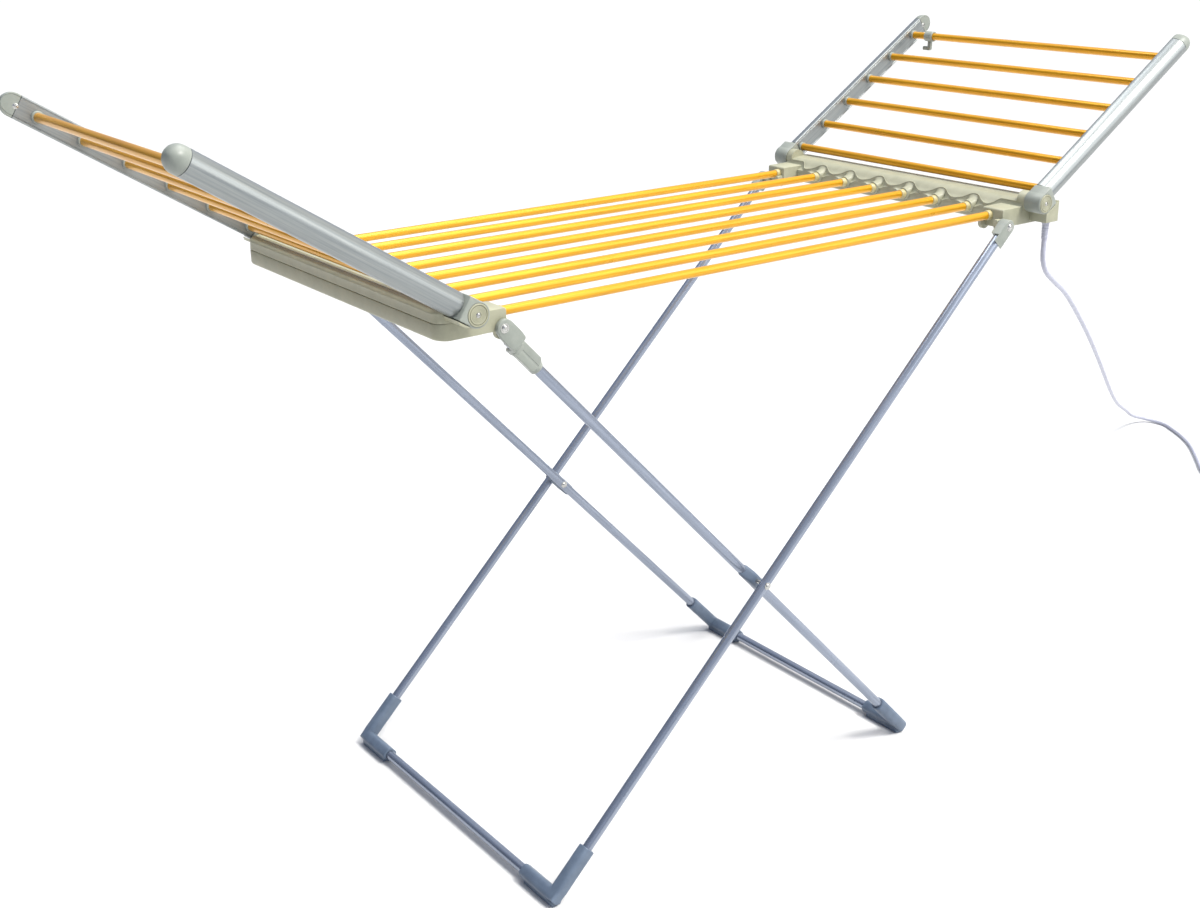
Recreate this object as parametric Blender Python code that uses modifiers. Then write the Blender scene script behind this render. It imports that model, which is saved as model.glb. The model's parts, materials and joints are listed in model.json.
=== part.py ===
"""Folding clothes airer with two raised wings and heated bars.

+X runs along the airer, towards the end where the mains cord comes out. Y runs
across it, and Z is up from the floor. The origin is on the floor under the
middle of the deck.
"""

import math

import bmesh
import bpy
from mathutils import Matrix, Vector

# Driving dimensions, in metres.
HINGE_X = 0.4505
HINGE_Z = 0.7716
WING_ANGLE = math.radians(32.8)
WING_REACH = 0.347

BAR_RADIUS = 0.0055
BAR_WALL = 0.0008
DECK_BARS = 8
DECK_BAR_PITCH = 0.0598
DECK_BAR_Z = 0.7555
WING_BARS = 6
WING_BAR_FIRST = 0.0261
WING_BAR_PITCH = 0.058

RAIL_FACE_Y = 0.236
RAIL_DEPTH = 0.020
RAIL_HEIGHT = 0.028
RAIL_WALL = 0.0016

HOUSING_HALF_WIDTH = 0.232
HOUSING_OUTER_X = 0.483
HOUSING_INNER_X = 0.426
HOUSING_BOTTOM_Z = 0.741
HOUSING_SPLIT_Z = 0.7595
HOUSING_WALL = 0.0025
HOUSING_CORNER = 0.0145
BELOW_HOUSING_Z = 0.70
ABOVE_HOUSING_Z = 0.82
INSIDE_HOUSING_X = 0.35
END_WALL = 0.012
STOP_RADIUS = 0.0151
STOP_OUTER_X = 0.4795
STOP_INNER_Y = 0.224
STOP_OUTER_Y = 0.2600
BLOCK_INNER_X = 0.398
BLOCK_INNER_Y = 0.197
BLOCK_TOP_Z = 0.7655

LEG_RADIUS = 0.0065
LEG_WALL = 0.001
LEG_PIVOT_Z = 0.745
FOOT_Z = 0.012
ELBOW_UPRIGHT = 0.070
ELBOW_LEVEL = 0.066
A_PIVOT_X = -0.405
A_FOOT_X = 0.279
A_Y = 0.2112
B_PIVOT_X = 0.396
B_FOOT_X = -0.3615
B_Y = 0.2396

CORD_RADIUS = 0.0035
CORD_X = 0.471
CORD_Y = -0.247
OUTLET_BOTTOM_Z = 0.7445
RELIEF_LENGTH = 0.025

GAP = 0.0003
SIDES = 12

# Worked out from the driving dimensions.
DECK_BAR_YS = [(i - (DECK_BARS - 1) / 2) * DECK_BAR_PITCH for i in range(DECK_BARS)]
WING_BAR_XS = [WING_BAR_FIRST + i * WING_BAR_PITCH for i in range(WING_BARS)]
RAIL_ROOT = 0.0187
RAIL_END = WING_REACH - 0.0060
SOCKET_RADIUS = BAR_RADIUS + GAP
BOSS_RADIUS = 0.0085
HINGE_BORE = 0.0054
EAR_RADIUS = 0.0085
A_LEG = Vector((A_FOOT_X - A_PIVOT_X, 0, FOOT_Z - LEG_PIVOT_Z))
B_LEG = Vector((B_FOOT_X - B_PIVOT_X, 0, FOOT_Z - LEG_PIVOT_Z))

FINISHES = {
    "gold": ((0.83, 0.47, 0.04), 0.3, 0.6),
    "aluminium": ((0.62, 0.64, 0.65), 0.35, 1.0),
    "plastic": ((0.42, 0.44, 0.43), 0.45, 0.0),
    "leg paint": ((0.40, 0.45, 0.52), 0.35, 0.7),
    "foot plastic": ((0.30, 0.36, 0.43), 0.5, 0.0),
    "steel": ((0.60, 0.60, 0.58), 0.25, 1.0),
    "cord": ((0.80, 0.81, 0.84), 0.5, 0.0),
}

airer = bpy.data.collections.new("clothes_airer")
cutters = bpy.data.collections.new("cutters")


# ---------------------------------------------------------------- helpers


def start_scene():
    for old in list(bpy.data.objects):
        bpy.data.objects.remove(old, do_unlink=True)
    bpy.context.scene.collection.children.link(airer)
    bpy.context.scene.collection.children.link(cutters)


def move_to(obj, collection):
    for old in list(obj.users_collection):
        old.objects.unlink(obj)
    collection.objects.link(obj)


def joint_empty(name, place, parent=None, rotation=(0, 0, 0)):
    """An empty on a joint's axis, which carries the pieces that turn on it."""
    empty = bpy.data.objects.new(name, None)
    airer.objects.link(empty)
    empty.parent = parent
    empty.location = place
    empty.rotation_euler = rotation
    return empty


def part(obj, name, finish, parent=None):
    """Name a piece, give it its material and hang it on its parent."""
    colour, roughness, metallic = FINISHES[finish]
    paint = bpy.data.materials.new(f"{name}_{finish}")
    paint.use_nodes = True
    shader = paint.node_tree.nodes["Principled BSDF"]
    shader.inputs["Base Color"].default_value = (*colour, 1)
    shader.inputs["Roughness"].default_value = roughness
    shader.inputs["Metallic"].default_value = metallic
    obj.name = name
    obj.data.name = name
    obj.data.materials.clear()
    obj.data.materials.append(paint)
    obj.parent = parent
    move_to(obj, airer)
    obj.data.shade_smooth()
    obj.data.set_sharp_from_angle(angle=math.radians(40))
    return obj


def hidden(obj, name, parent=None):
    """A body that is only there to be cut from, or joined to, another."""
    obj.name = name
    obj.parent = parent
    obj.hide_render = True
    obj.display_type = "WIRE"
    move_to(obj, cutters)
    return obj


def combine(obj, other, operation):
    step = obj.modifiers.new(f"{operation.lower()} {other.name}", "BOOLEAN")
    step.operation = operation
    step.solver = "EXACT"
    step.object = other


def cut(obj, other):
    combine(obj, other, "DIFFERENCE")


def join(obj, other):
    combine(obj, other, "UNION")


def bevel(obj, width, segments=2, angle=40):
    step = obj.modifiers.new("rounded edges", "BEVEL")
    step.width = width
    step.segments = segments
    step.limit_method = "ANGLE"
    step.angle_limit = math.radians(angle)


def new_object(name, mesh):
    obj = bpy.data.objects.new(name, mesh)
    airer.objects.link(obj)
    return obj


def rods(name, runs, sides=SIDES):
    """One mesh of closed round rods, each given by its ends and radius."""
    mesh = bpy.data.meshes.new(name)
    shape = bmesh.new()
    for start, end, radius in runs:
        start = Vector(start)
        run = Vector(end) - start
        turn = run.to_track_quat("Z", "Y").to_matrix().to_4x4()
        bmesh.ops.create_cone(
            shape,
            cap_ends=True,
            segments=sides,
            radius1=radius,
            radius2=radius,
            depth=run.length,
            matrix=Matrix.Translation(start + run / 2) @ turn,
        )
    shape.to_mesh(mesh)
    shape.free()
    return new_object(name, mesh)


def boxes(name, corners):
    """One mesh of closed boxes, each given by two opposite corners."""
    mesh = bpy.data.meshes.new(name)
    shape = bmesh.new()
    for low, high in corners:
        low = Vector(low)
        high = Vector(high)
        size = Matrix.Diagonal([abs(v) for v in high - low]).to_4x4()
        bmesh.ops.create_cube(
            shape, size=1, matrix=Matrix.Translation((low + high) / 2) @ size
        )
    shape.to_mesh(mesh)
    shape.free()
    return new_object(name, mesh)


def tube(name, start, end, radius, wall, finish, parent=None, sides=SIDES):
    """A straight hollow tube with open ends."""
    start = Vector(start)
    run = Vector(end) - start
    bpy.ops.mesh.primitive_cylinder_add(
        vertices=sides, radius=radius, depth=run.length, end_fill_type="NOTHING"
    )
    obj = bpy.context.object
    obj.location = start + run / 2
    obj.rotation_euler = run.to_track_quat("Z", "Y").to_euler()
    shell = obj.modifiers.new("tube wall", "SOLIDIFY")
    shell.thickness = wall
    shell.offset = -1
    return part(obj, name, finish, parent)


def mesh_from_curve(curve_object, weld=0.00001):
    """The mesh of a curve object, with its caps welded on."""
    bpy.context.view_layer.update()
    graph = bpy.context.evaluated_depsgraph_get()
    mesh = bpy.data.meshes.new_from_object(curve_object.evaluated_get(graph))
    shape = bmesh.new()
    shape.from_mesh(mesh)
    bmesh.ops.remove_doubles(shape, verts=shape.verts, dist=weld)
    bmesh.ops.recalc_face_normals(shape, faces=shape.faces)
    shape.to_mesh(mesh)
    shape.free()
    obj = new_object(curve_object.name, mesh)
    obj.matrix_world = curve_object.matrix_world
    bpy.data.objects.remove(curve_object, do_unlink=True)
    return obj


def plate(name, rings, side_y, thickness):
    """A flat outline in X and Z, with holes for its further rings.

    It fills the space from side_y to side_y + thickness along Y.
    """
    curve = bpy.data.curves.new(name, "CURVE")
    curve.dimensions = "2D"
    curve.fill_mode = "BOTH"
    curve.extrude = abs(thickness) / 2
    for ring in rings:
        spline = curve.splines.new("POLY")
        spline.points.add(len(ring) - 1)
        spline.use_cyclic_u = True
        for point, (x, z) in zip(spline.points, ring):
            point.co = (x, z, 0, 1)
    obj = bpy.data.objects.new(name, curve)
    airer.objects.link(obj)
    obj.location = (0, side_y + thickness / 2, 0)
    obj.rotation_euler = (math.pi / 2, 0, 0)
    return mesh_from_curve(obj)


def bent_rod(name, points, radius, resolution=4):
    """A round rod along a line of points, with closed ends."""
    curve = bpy.data.curves.new(name, "CURVE")
    curve.dimensions = "3D"
    curve.bevel_depth = radius
    curve.bevel_resolution = resolution
    curve.use_fill_caps = True
    spline = curve.splines.new("POLY")
    spline.points.add(len(points) - 1)
    for point, place in zip(spline.points, points):
        point.co = (*place, 1)
    obj = bpy.data.objects.new(name, curve)
    airer.objects.link(obj)
    return mesh_from_curve(obj)


def turned(name, profile, steps=SIDES):
    """A turned piece about local Z: radius and height, from top to bottom."""
    mesh = bpy.data.meshes.new(name)
    points = [(radius, 0, height) for radius, height in profile]
    edges = [(i, i + 1) for i in range(len(points) - 1)]
    mesh.from_pydata(points, edges, [])
    obj = new_object(name, mesh)
    lathe = obj.modifiers.new("turn", "SCREW")
    lathe.axis = "Z"
    lathe.steps = steps
    lathe.render_steps = steps
    lathe.use_merge_vertices = True
    lathe.merge_threshold = 0.00001
    return obj


def arc(centre, radius, start, end, steps):
    """Points round an arc, with its angles in degrees from +X towards +Z."""
    x, z = centre
    turns = [math.radians(start + (end - start) * i / steps) for i in range(steps + 1)]
    return [(x + radius * math.cos(t), z + radius * math.sin(t)) for t in turns]


# ---------------------------------------------------------------- deck


def mirrored(points, end):
    """The same outline at the +X end (end = 1) or at the -X end (end = -1)."""
    return [(end * x, z) for x, z in points]


def end_pair(name, end, side_y, thickness, ring):
    """The same plate at both Y ends of a housing, as one hidden body."""
    first = plate(name, [mirrored(ring, end)], side_y, thickness)
    second = plate(name, [mirrored(ring, end)], -side_y, -thickness)
    hidden(first, f"{name}_near")
    hidden(second, f"{name}_far")
    return first, second


def bar_rods(name, end, radius, inner_x, outer_x):
    """Round bodies on the axes of the eight deck bars, at one end."""
    runs = [
        ((end * inner_x, y, DECK_BAR_Z), (end * outer_x, y, DECK_BAR_Z), radius)
        for y in DECK_BAR_YS
    ]
    return hidden(rods(name, runs), name)


def hinge_rods(name, end, radius, inner_y, outer_y):
    """Round bodies on the wing hinge's axis, at both sides."""
    x = end * HINGE_X
    runs = [
        ((x, side * inner_y, HINGE_Z), (x, side * outer_y, HINGE_Z), radius)
        for side in (-1, 1)
    ]
    return hidden(rods(name, runs), name)


def rounded_plan(name, end):
    """A body that rounds the upright outer corners of a housing shell."""
    wide = HOUSING_HALF_WIDTH + GAP
    low = (end * INSIDE_HOUSING_X, -wide, BELOW_HOUSING_Z)
    high = (end * (HOUSING_OUTER_X + GAP), wide, ABOVE_HOUSING_Z)
    body = boxes(name, [(low, high)])
    bevel(body, HOUSING_CORNER, 4)
    return hidden(body, name)


def end_blocks(name, end, inner_x, outer_x, bottom, top, clearance):
    """The solid corners of a housing, where the leg lugs are."""
    low_y = BLOCK_INNER_Y - clearance
    high_y = HOUSING_HALF_WIDTH
    corners = [
        ((end * inner_x, side * low_y, bottom), (end * outer_x, side * high_y, top))
        for side in (-1, 1)
    ]
    return hidden(boxes(name, corners), name)


def housing_cover(name, end):
    """The upper shell, with a wavy edge over the bar sockets."""
    top = HOUSING_SPLIT_Z + GAP
    profile = [
        (HOUSING_OUTER_X, top),
        (HOUSING_OUTER_X, 0.7706),
        (0.4818, 0.7731),
        (0.4788, 0.7746),
        (0.4700, 0.7747),
        (0.4520, 0.7747),
        (0.4430, 0.7738),
        (0.4368, 0.7705),
        (0.4318, 0.7658),
        (HOUSING_INNER_X, 0.7632),
        (HOUSING_INNER_X, top),
    ]
    width = 2 * HOUSING_HALF_WIDTH
    cover = plate(name, [mirrored(profile, end)], -HOUSING_HALF_WIDTH, width)
    combine(cover, rounded_plan(f"{name}_plan", end), "INTERSECT")
    hollow = [
        (HOUSING_OUTER_X - HOUSING_WALL, top - 0.001),
        (HOUSING_OUTER_X - HOUSING_WALL, 0.7665),
        (0.4745, 0.7715),
        (0.4530, 0.7718),
        (0.4400, 0.7695),
        (0.4400, top - 0.001),
    ]
    inside = HOUSING_HALF_WIDTH - END_WALL
    cavity = plate(f"{name}_cavity", [mirrored(hollow, end)], -inside, 2 * inside)
    cut(cover, hidden(cavity, f"{name}_cavity"))
    socket_room = BOSS_RADIUS + GAP
    cut(cover, bar_rods(f"{name}_scallops", end, socket_room, 0.415, 0.4455))
    corner = end_blocks(
        f"{name}_corners", end, 0.41, 0.4373, 0.75, BLOCK_TOP_Z + GAP, GAP
    )
    cut(cover, corner)
    join(cover, hinge_rods(f"{name}_hinge_bosses", end, 0.0135, 0.2215, 0.2338))
    cut(cover, hinge_rods(f"{name}_hinge_bores", end, HINGE_BORE, 0.2225, 0.2400))
    for side in (-1, 1):
        join(cover, wing_stop(f"{name}_stop_{side}", end, side))
    return part(cover, name, "plastic")


def under_wing(distance):
    """A point on the stops' upper face, so far out along the raised wing."""
    x = HINGE_X + distance * math.cos(WING_ANGLE) + STOP_RADIUS * math.sin(WING_ANGLE)
    z = HINGE_Z + distance * math.sin(WING_ANGLE) - STOP_RADIUS * math.cos(WING_ANGLE)
    return (x, z)


def wing_stop(name, end, side):
    """The lug under a hinge that the raised wing leans on."""
    bottom = HOUSING_SPLIT_Z + GAP
    rise = (bottom - under_wing(0)[1]) / math.sin(WING_ANGLE)
    if (end, side) == (1, -1):
        reach = (STOP_OUTER_X - under_wing(0)[0]) / math.cos(WING_ANGLE)
        outline = [(STOP_OUTER_X, bottom), under_wing(reach), under_wing(rise)]
    else:
        outline = [
            (HINGE_X + 0.0140, bottom),
            (HINGE_X + 0.0222, HINGE_Z - 0.0074),
            under_wing(RAIL_ROOT),
            under_wing(rise),
        ]
    reach_y = STOP_OUTER_Y - STOP_INNER_Y
    lug = plate(name, [mirrored(outline, end)], side * STOP_INNER_Y, side * reach_y)
    return hidden(lug, name)


def housing_tray(name, end):
    """The lower shell, with the bar sockets, leg lugs and leg spigots."""
    profile = [
        (HOUSING_OUTER_X, HOUSING_SPLIT_Z),
        (HOUSING_OUTER_X, HOUSING_BOTTOM_Z + 0.0035),
        (HOUSING_OUTER_X - 0.0035, HOUSING_BOTTOM_Z),
        (HOUSING_INNER_X + 0.003, HOUSING_BOTTOM_Z),
        (HOUSING_INNER_X, HOUSING_BOTTOM_Z + 0.003),
        (HOUSING_INNER_X, HOUSING_SPLIT_Z),
    ]
    width = 2 * HOUSING_HALF_WIDTH
    tray = plate(name, [mirrored(profile, end)], -HOUSING_HALF_WIDTH, width)
    combine(tray, rounded_plan(f"{name}_plan", end), "INTERSECT")
    inside = HOUSING_HALF_WIDTH - END_WALL
    floor = HOUSING_BOTTOM_Z + HOUSING_WALL
    room = boxes(
        f"{name}_room",
        [
            (
                (end * (HOUSING_INNER_X + 0.004), -inside, floor),
                (end * (HOUSING_OUTER_X - HOUSING_WALL), inside, 0.77),
            )
        ],
    )
    cut(tray, hidden(room, f"{name}_room"))
    join(tray, bar_rods(f"{name}_bosses", end, BOSS_RADIUS, 0.4215, 0.4360))
    blocks = end_blocks(
        f"{name}_blocks",
        end,
        BLOCK_INNER_X,
        0.4370,
        HOUSING_BOTTOM_Z,
        BLOCK_TOP_Z,
        0,
    )
    join(tray, blocks)
    for ear, (low, thick) in {"outer": (0.2255, 0.0065), "inner": (0.199, 0.006)}.items():
        for body in end_pair(f"{name}_{ear}_ear", end, low, thick, ear_outline(end)):
            join(tray, body)
    cut(tray, bar_rods(f"{name}_sockets", end, SOCKET_RADIUS, 0.37, 0.4700))
    cut(tray, hinge_rods(f"{name}_hinge_room", end, 0.0138, 0.2210, 0.2400))
    return part(tray, name, "plastic")


def ear_outline(end):
    """A lug that hangs from the corner block round the leg pivot."""
    x = B_PIVOT_X if end > 0 else -A_PIVOT_X
    centre = (x, LEG_PIVOT_Z)
    round_end = arc(centre, EAR_RADIUS, 180, 360, 8)
    top = LEG_PIVOT_Z + 0.008
    return [(x - EAR_RADIUS, top), *round_end, (x + EAR_RADIUS, top)]


def leg_rods(name, x, radius, inner_y, outer_y):
    runs = [
        ((x, side * inner_y, LEG_PIVOT_Z), (x, side * outer_y, LEG_PIVOT_Z), radius)
        for side in (-1, 1)
    ]
    return hidden(rods(name, runs), name)


def cord_outlet(tray):
    """The block under the hinge that the mains cord comes out of."""
    inner_x = CORD_X - 0.0165
    drum = [
        point
        for point in arc((HINGE_X, HINGE_Z), STOP_RADIUS, -53.2, -75, 4)
        if point[0] > inner_x
    ]
    outline = [
        (inner_x, OUTLET_BOTTOM_Z),
        (STOP_OUTER_X, OUTLET_BOTTOM_Z),
        (STOP_OUTER_X, HOUSING_SPLIT_Z),
        *drum,
        (inner_x, HINGE_Z - STOP_RADIUS),
    ]
    block = plate("cord_outlet", [outline], -STOP_OUTER_Y, STOP_OUTER_Y - STOP_INNER_Y)
    join(tray, hidden(block, "cord_outlet"))


def deck():
    for end, side in ((-1, "left"), (1, "right")):
        housing_cover(f"{side}_housing_cover", end)
        tray = housing_tray(f"{side}_housing_tray", end)
        if end > 0:
            bores = leg_rods("leg_bores", B_PIVOT_X, 0.0038, 0.2150, 0.2400)
            cut(tray, bores)
            cord_outlet(tray)
        else:
            join(tray, leg_rods("leg_spigots", A_PIVOT_X, 0.003, 0.2270, 0.2352))
    reach = HOUSING_INNER_X + 0.0085
    for number, y in enumerate(DECK_BAR_YS, 1):
        start = (-reach, y, DECK_BAR_Z)
        end = (reach, y, DECK_BAR_Z)
        tube(f"deck_bar_{number}", start, end, BAR_RADIUS, BAR_WALL, "gold")
    for end, wing in ((-1, "left"), (1, "right")):
        for side, edge in ((-1, "near"), (1, "far")):
            hinge_pin(f"{wing}_hinge_pin_{edge}", end, side)


def hinge_pin(name, end, side):
    """A headed pin that holds a wing's knuckle to the housing."""
    head = 0.0123
    shank = 0.0050
    profile = [
        (0, 0.2612),
        (head - 0.0006, 0.2612),
        (head, 0.2606),
        (head, 0.2595),
        (shank, 0.2595),
        (shank, 0.2240),
        (0, 0.2240),
    ]
    pin = turned(name, profile, 16)
    pin.location = (end * HINGE_X, 0, HINGE_Z)
    pin.rotation_euler = (-side * math.pi / 2, 0, 0)
    return part(pin, name, "plastic")


# ---------------------------------------------------------------- wings


def rail_ring(inset):
    """The rail's D section, as distance out from its flat face and height."""
    half = RAIL_HEIGHT / 2 - inset
    straight = 0.004
    depth = RAIL_DEPTH - straight - inset
    turns = [math.radians(90 - 22.5 * i) for i in range(9)]
    crown = [(straight + depth * math.cos(t), half * math.sin(t)) for t in turns]
    return [(inset, half), *crown, (inset, -half)]


def rail(name, side, wing):
    """A hollow rail along local X, with a hole for each bar."""
    curve = bpy.data.curves.new(name, "CURVE")
    curve.dimensions = "2D"
    curve.fill_mode = "BOTH"
    curve.extrude = (RAIL_END - RAIL_ROOT) / 2
    for inset in (0, RAIL_WALL):
        ring = rail_ring(inset)
        spline = curve.splines.new("POLY")
        spline.points.add(len(ring) - 1)
        spline.use_cyclic_u = True
        for point, (out, height) in zip(spline.points, ring):
            point.co = (side * (RAIL_FACE_Y + out), height, 0, 1)
    shape = bpy.data.objects.new(name, curve)
    airer.objects.link(shape)
    shape.location = ((RAIL_END + RAIL_ROOT) / 2, 0, 0)
    shape.rotation_euler = (math.pi / 2, 0, math.pi / 2)
    obj = mesh_from_curve(shape)
    holes = rods(
        f"{name}_holes",
        [
            ((x, side * (RAIL_FACE_Y - 0.004), 0), (x, side * 0.2440, 0), SOCKET_RADIUS)
            for x in WING_BAR_XS
        ],
    )
    cut(obj, hidden(holes, f"{name}_holes", wing))
    return part(obj, name, "aluminium", wing)


def knuckle(name, side, wing):
    """The hinge end of a rail: a drum, a neck, and a tongue in the rail."""
    half = RAIL_HEIGHT / 2
    drum = 0.0145
    turn = math.degrees(math.asin(half / drum))
    neck = RAIL_ROOT - GAP
    outline = [(neck, half), *arc((0, 0), drum, turn, 360 - turn, 16), (neck, -half)]
    inner_y = 0.2343
    outer_y = 0.2605
    obj = plate(name, [outline], side * inner_y, side * (outer_y - inner_y))
    tongue = boxes(
        f"{name}_tongue",
        [((0.010, side * 0.2455, -0.007), (0.042, side * 0.2505, 0.007))],
    )
    join(obj, hidden(tongue, f"{name}_tongue", wing))
    for label, low, radius in (("bore", 0.2300, HINGE_BORE), ("recess", 0.2592, 0.0126)):
        run = ((0, side * low, 0), (0, side * 0.2700, 0), radius)
        cut(obj, hidden(rods(f"{name}_{label}", [run], 16), f"{name}_{label}", wing))
    return part(obj, name, "plastic", wing)


def tip_cap(name, side, wing):
    """The rounded end of a rail, with a tongue in the rail."""
    start = RAIL_END + GAP
    radius = RAIL_HEIGHT / 2
    outline = [(start, -radius), *arc((WING_REACH - 0.001, 0), radius, -90, 90, 10)]
    outline.append((start, radius))
    obj = plate(name, [outline], side * 0.2357, side * 0.0206)
    bevel(obj, 0.0045, 2, 60)
    tongue = boxes(
        f"{name}_tongue",
        [((RAIL_END - 0.0100, side * 0.2385, -0.0085), (start + 0.004, side * 0.2490, 0.0085))],
    )
    join(obj, hidden(tongue, f"{name}_tongue", wing))
    return part(obj, name, "plastic", wing)


def wing_set(label, wing, near_side):
    """Rails, bars, caps and knuckles in the frame of the wing's hinge."""
    for edge, side in (("near", near_side), ("far", -near_side)):
        rail(f"{label}_wing_rail_{edge}", side, wing)
        knuckle(f"{label}_wing_knuckle_{edge}", side, wing)
        tip_cap(f"{label}_wing_tip_cap_{edge}", side, wing)
    reach = RAIL_FACE_Y + 0.0075
    for number, x in enumerate(WING_BAR_XS, 1):
        name = f"{label}_wing_bar_{number}"
        tube(name, (x, -reach, 0), (x, reach, 0), BAR_RADIUS, BAR_WALL, "gold", wing)


def wing_catch(wing):
    """A sleeve that turns on the outermost bar, with a flat hook under it."""
    place = (WING_BAR_XS[-1], 0, 0)
    swivel = joint_empty("catch_swivel", place, wing, (0, WING_ANGLE, 0))
    middle = 0.199
    half = 0.008
    sleeve = rods("wing_catch", [((0, middle - half, 0), (0, middle + half, 0), 0.008)])
    hook = boxes(
        "wing_catch_hook",
        [
            ((-0.0025, middle - 0.003, -0.022), (0.0025, middle + 0.003, 0)),
        ],
    )
    toe = boxes(
        "wing_catch_toe",
        [((-0.0025, middle - 0.003, -0.022), (0.0025, middle + 0.013, -0.017))],
    )
    join(sleeve, hidden(hook, "wing_catch_hook", swivel))
    join(sleeve, hidden(toe, "wing_catch_toe", swivel))
    bore = rods(
        "wing_catch_bore",
        [((0, middle - 0.02, 0), (0, middle + 0.02, 0), BAR_RADIUS + 0.0004)],
    )
    cut(sleeve, hidden(bore, "wing_catch_bore", swivel))
    part(sleeve, "wing_catch", "plastic", swivel)


def wings():
    tilt = (0, -WING_ANGLE, 0)
    right = joint_empty("right_wing_hinge", (HINGE_X, 0, HINGE_Z), None, tilt)
    flipped = (0, -WING_ANGLE, math.pi)
    left = joint_empty("left_wing_hinge", (-HINGE_X, 0, HINGE_Z), None, flipped)
    wing_set("right", right, -1)
    wing_set("left", left, 1)
    wing_catch(right)


# ---------------------------------------------------------------- legs


def crossing():
    """Where the two leg frames cross, as a point in X and Z."""
    slope_a = A_LEG.z / A_LEG.x
    slope_b = B_LEG.z / B_LEG.x
    x = (slope_b * B_PIVOT_X - slope_a * A_PIVOT_X) / (slope_b - slope_a)
    return Vector((x, 0, LEG_PIVOT_Z + slope_a * (x - A_PIVOT_X)))


def leg_tube(name, top, foot, y, start, pivot, frame):
    """A side tube from near its top fitting to inside its elbow."""
    along = (foot - top).normalized()
    sideways = Vector((0, y, 0))
    first = top + along * start + sideways
    last = foot - along * 0.0135 + sideways
    obj = tube(name, first, last, LEG_RADIUS, LEG_WALL, "leg paint", frame)
    side = math.copysign(1, y)
    hole = rods(
        f"{name}_hole",
        [((pivot.x, y - side * 0.012, pivot.z), (pivot.x, y + side * 0.012, pivot.z), 0.0027)],
    )
    cut(obj, hidden(hole, f"{name}_hole", frame))
    return obj


def elbow(name, top, foot, y, frame):
    """A socket for the side tube and the foot tube, with a flat pad below."""
    side = math.copysign(1, y)
    up = (top - foot).normalized()
    inward = Vector((0, -side, 0))
    corner = foot + Vector((0, y, 0))
    bend = 0.0165
    start = corner + up * ELBOW_UPRIGHT
    finish = corner + inward * ELBOW_LEVEL
    round_corner = []
    steps = 5
    for i in range(steps + 1):
        t = i / steps
        near = up * bend * (1 - t) ** 2
        far = inward * bend * t**2
        round_corner.append(corner + near + far)
    obj = bent_rod(name, [start, *round_corner, finish], 0.0095)
    floor = -FOOT_Z + foot.z
    low = (foot.x - 0.008, corner.y - side * 0.004, floor)
    high = (foot.x + 0.008, corner.y - side * (ELBOW_LEVEL - 0.004), floor + 0.009)
    join(obj, hidden(boxes(f"{name}_pad", [(low, high)]), f"{name}_pad", frame))
    bore = LEG_RADIUS + GAP
    bores = rods(
        f"{name}_bores",
        [
            (corner + up * 0.013, corner + up * (ELBOW_UPRIGHT + 0.014), bore),
            (corner + inward * 0.013, corner + inward * (ELBOW_LEVEL + 0.014), bore),
        ],
    )
    cut(obj, hidden(bores, f"{name}_bores", frame))
    return part(obj, name, "foot plastic", frame)


def foot_tube(name, foot, y, frame):
    reach = y - 0.0135
    start = foot + Vector((0, -reach, 0))
    end = foot + Vector((0, reach, 0))
    tube(name, start, end, LEG_RADIUS, LEG_WALL, "leg paint", frame)


def stadium(top, along, start, finish, half):
    """An outline round the leg's line, square at its lower end."""
    across = Vector((-along.z, 0, along.x))
    heading = math.degrees(math.atan2(along.z, along.x))
    centre = top + along * start
    ring = arc((centre.x, centre.z), half, heading + 90, heading + 270, 10)
    end = top + along * finish
    for sign in (-1, 1):
        corner = end + across * half * sign
        ring.append((corner.x, corner.z))
    return ring


def fitting_b(name, top, foot, side, frame):
    """A round ear on a trunnion, with a plug that goes into the tube."""
    along = (foot - top).normalized()
    inner_y = HOUSING_HALF_WIDTH + GAP
    thick = 2 * (B_Y - inner_y) - 0.0003
    ring = stadium(top, along, 0, 0.019, 0.0095)
    obj = plate(name, [ring], side * inner_y, side * thick)
    bevel(obj, 0.0012, 1, 60)
    centre = top + Vector((0, side * B_Y, 0))
    plug = rods(f"{name}_plug", [(centre + along * 0.012, centre + along * 0.045, 0.0052)])
    join(obj, hidden(plug, f"{name}_plug", frame))
    pin = rods(
        f"{name}_trunnion",
        [((top.x, side * 0.2225, top.z), (top.x, side * 0.2350, top.z), 0.0035)],
    )
    join(obj, hidden(pin, f"{name}_trunnion", frame))
    return part(obj, name, "plastic", frame)


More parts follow.
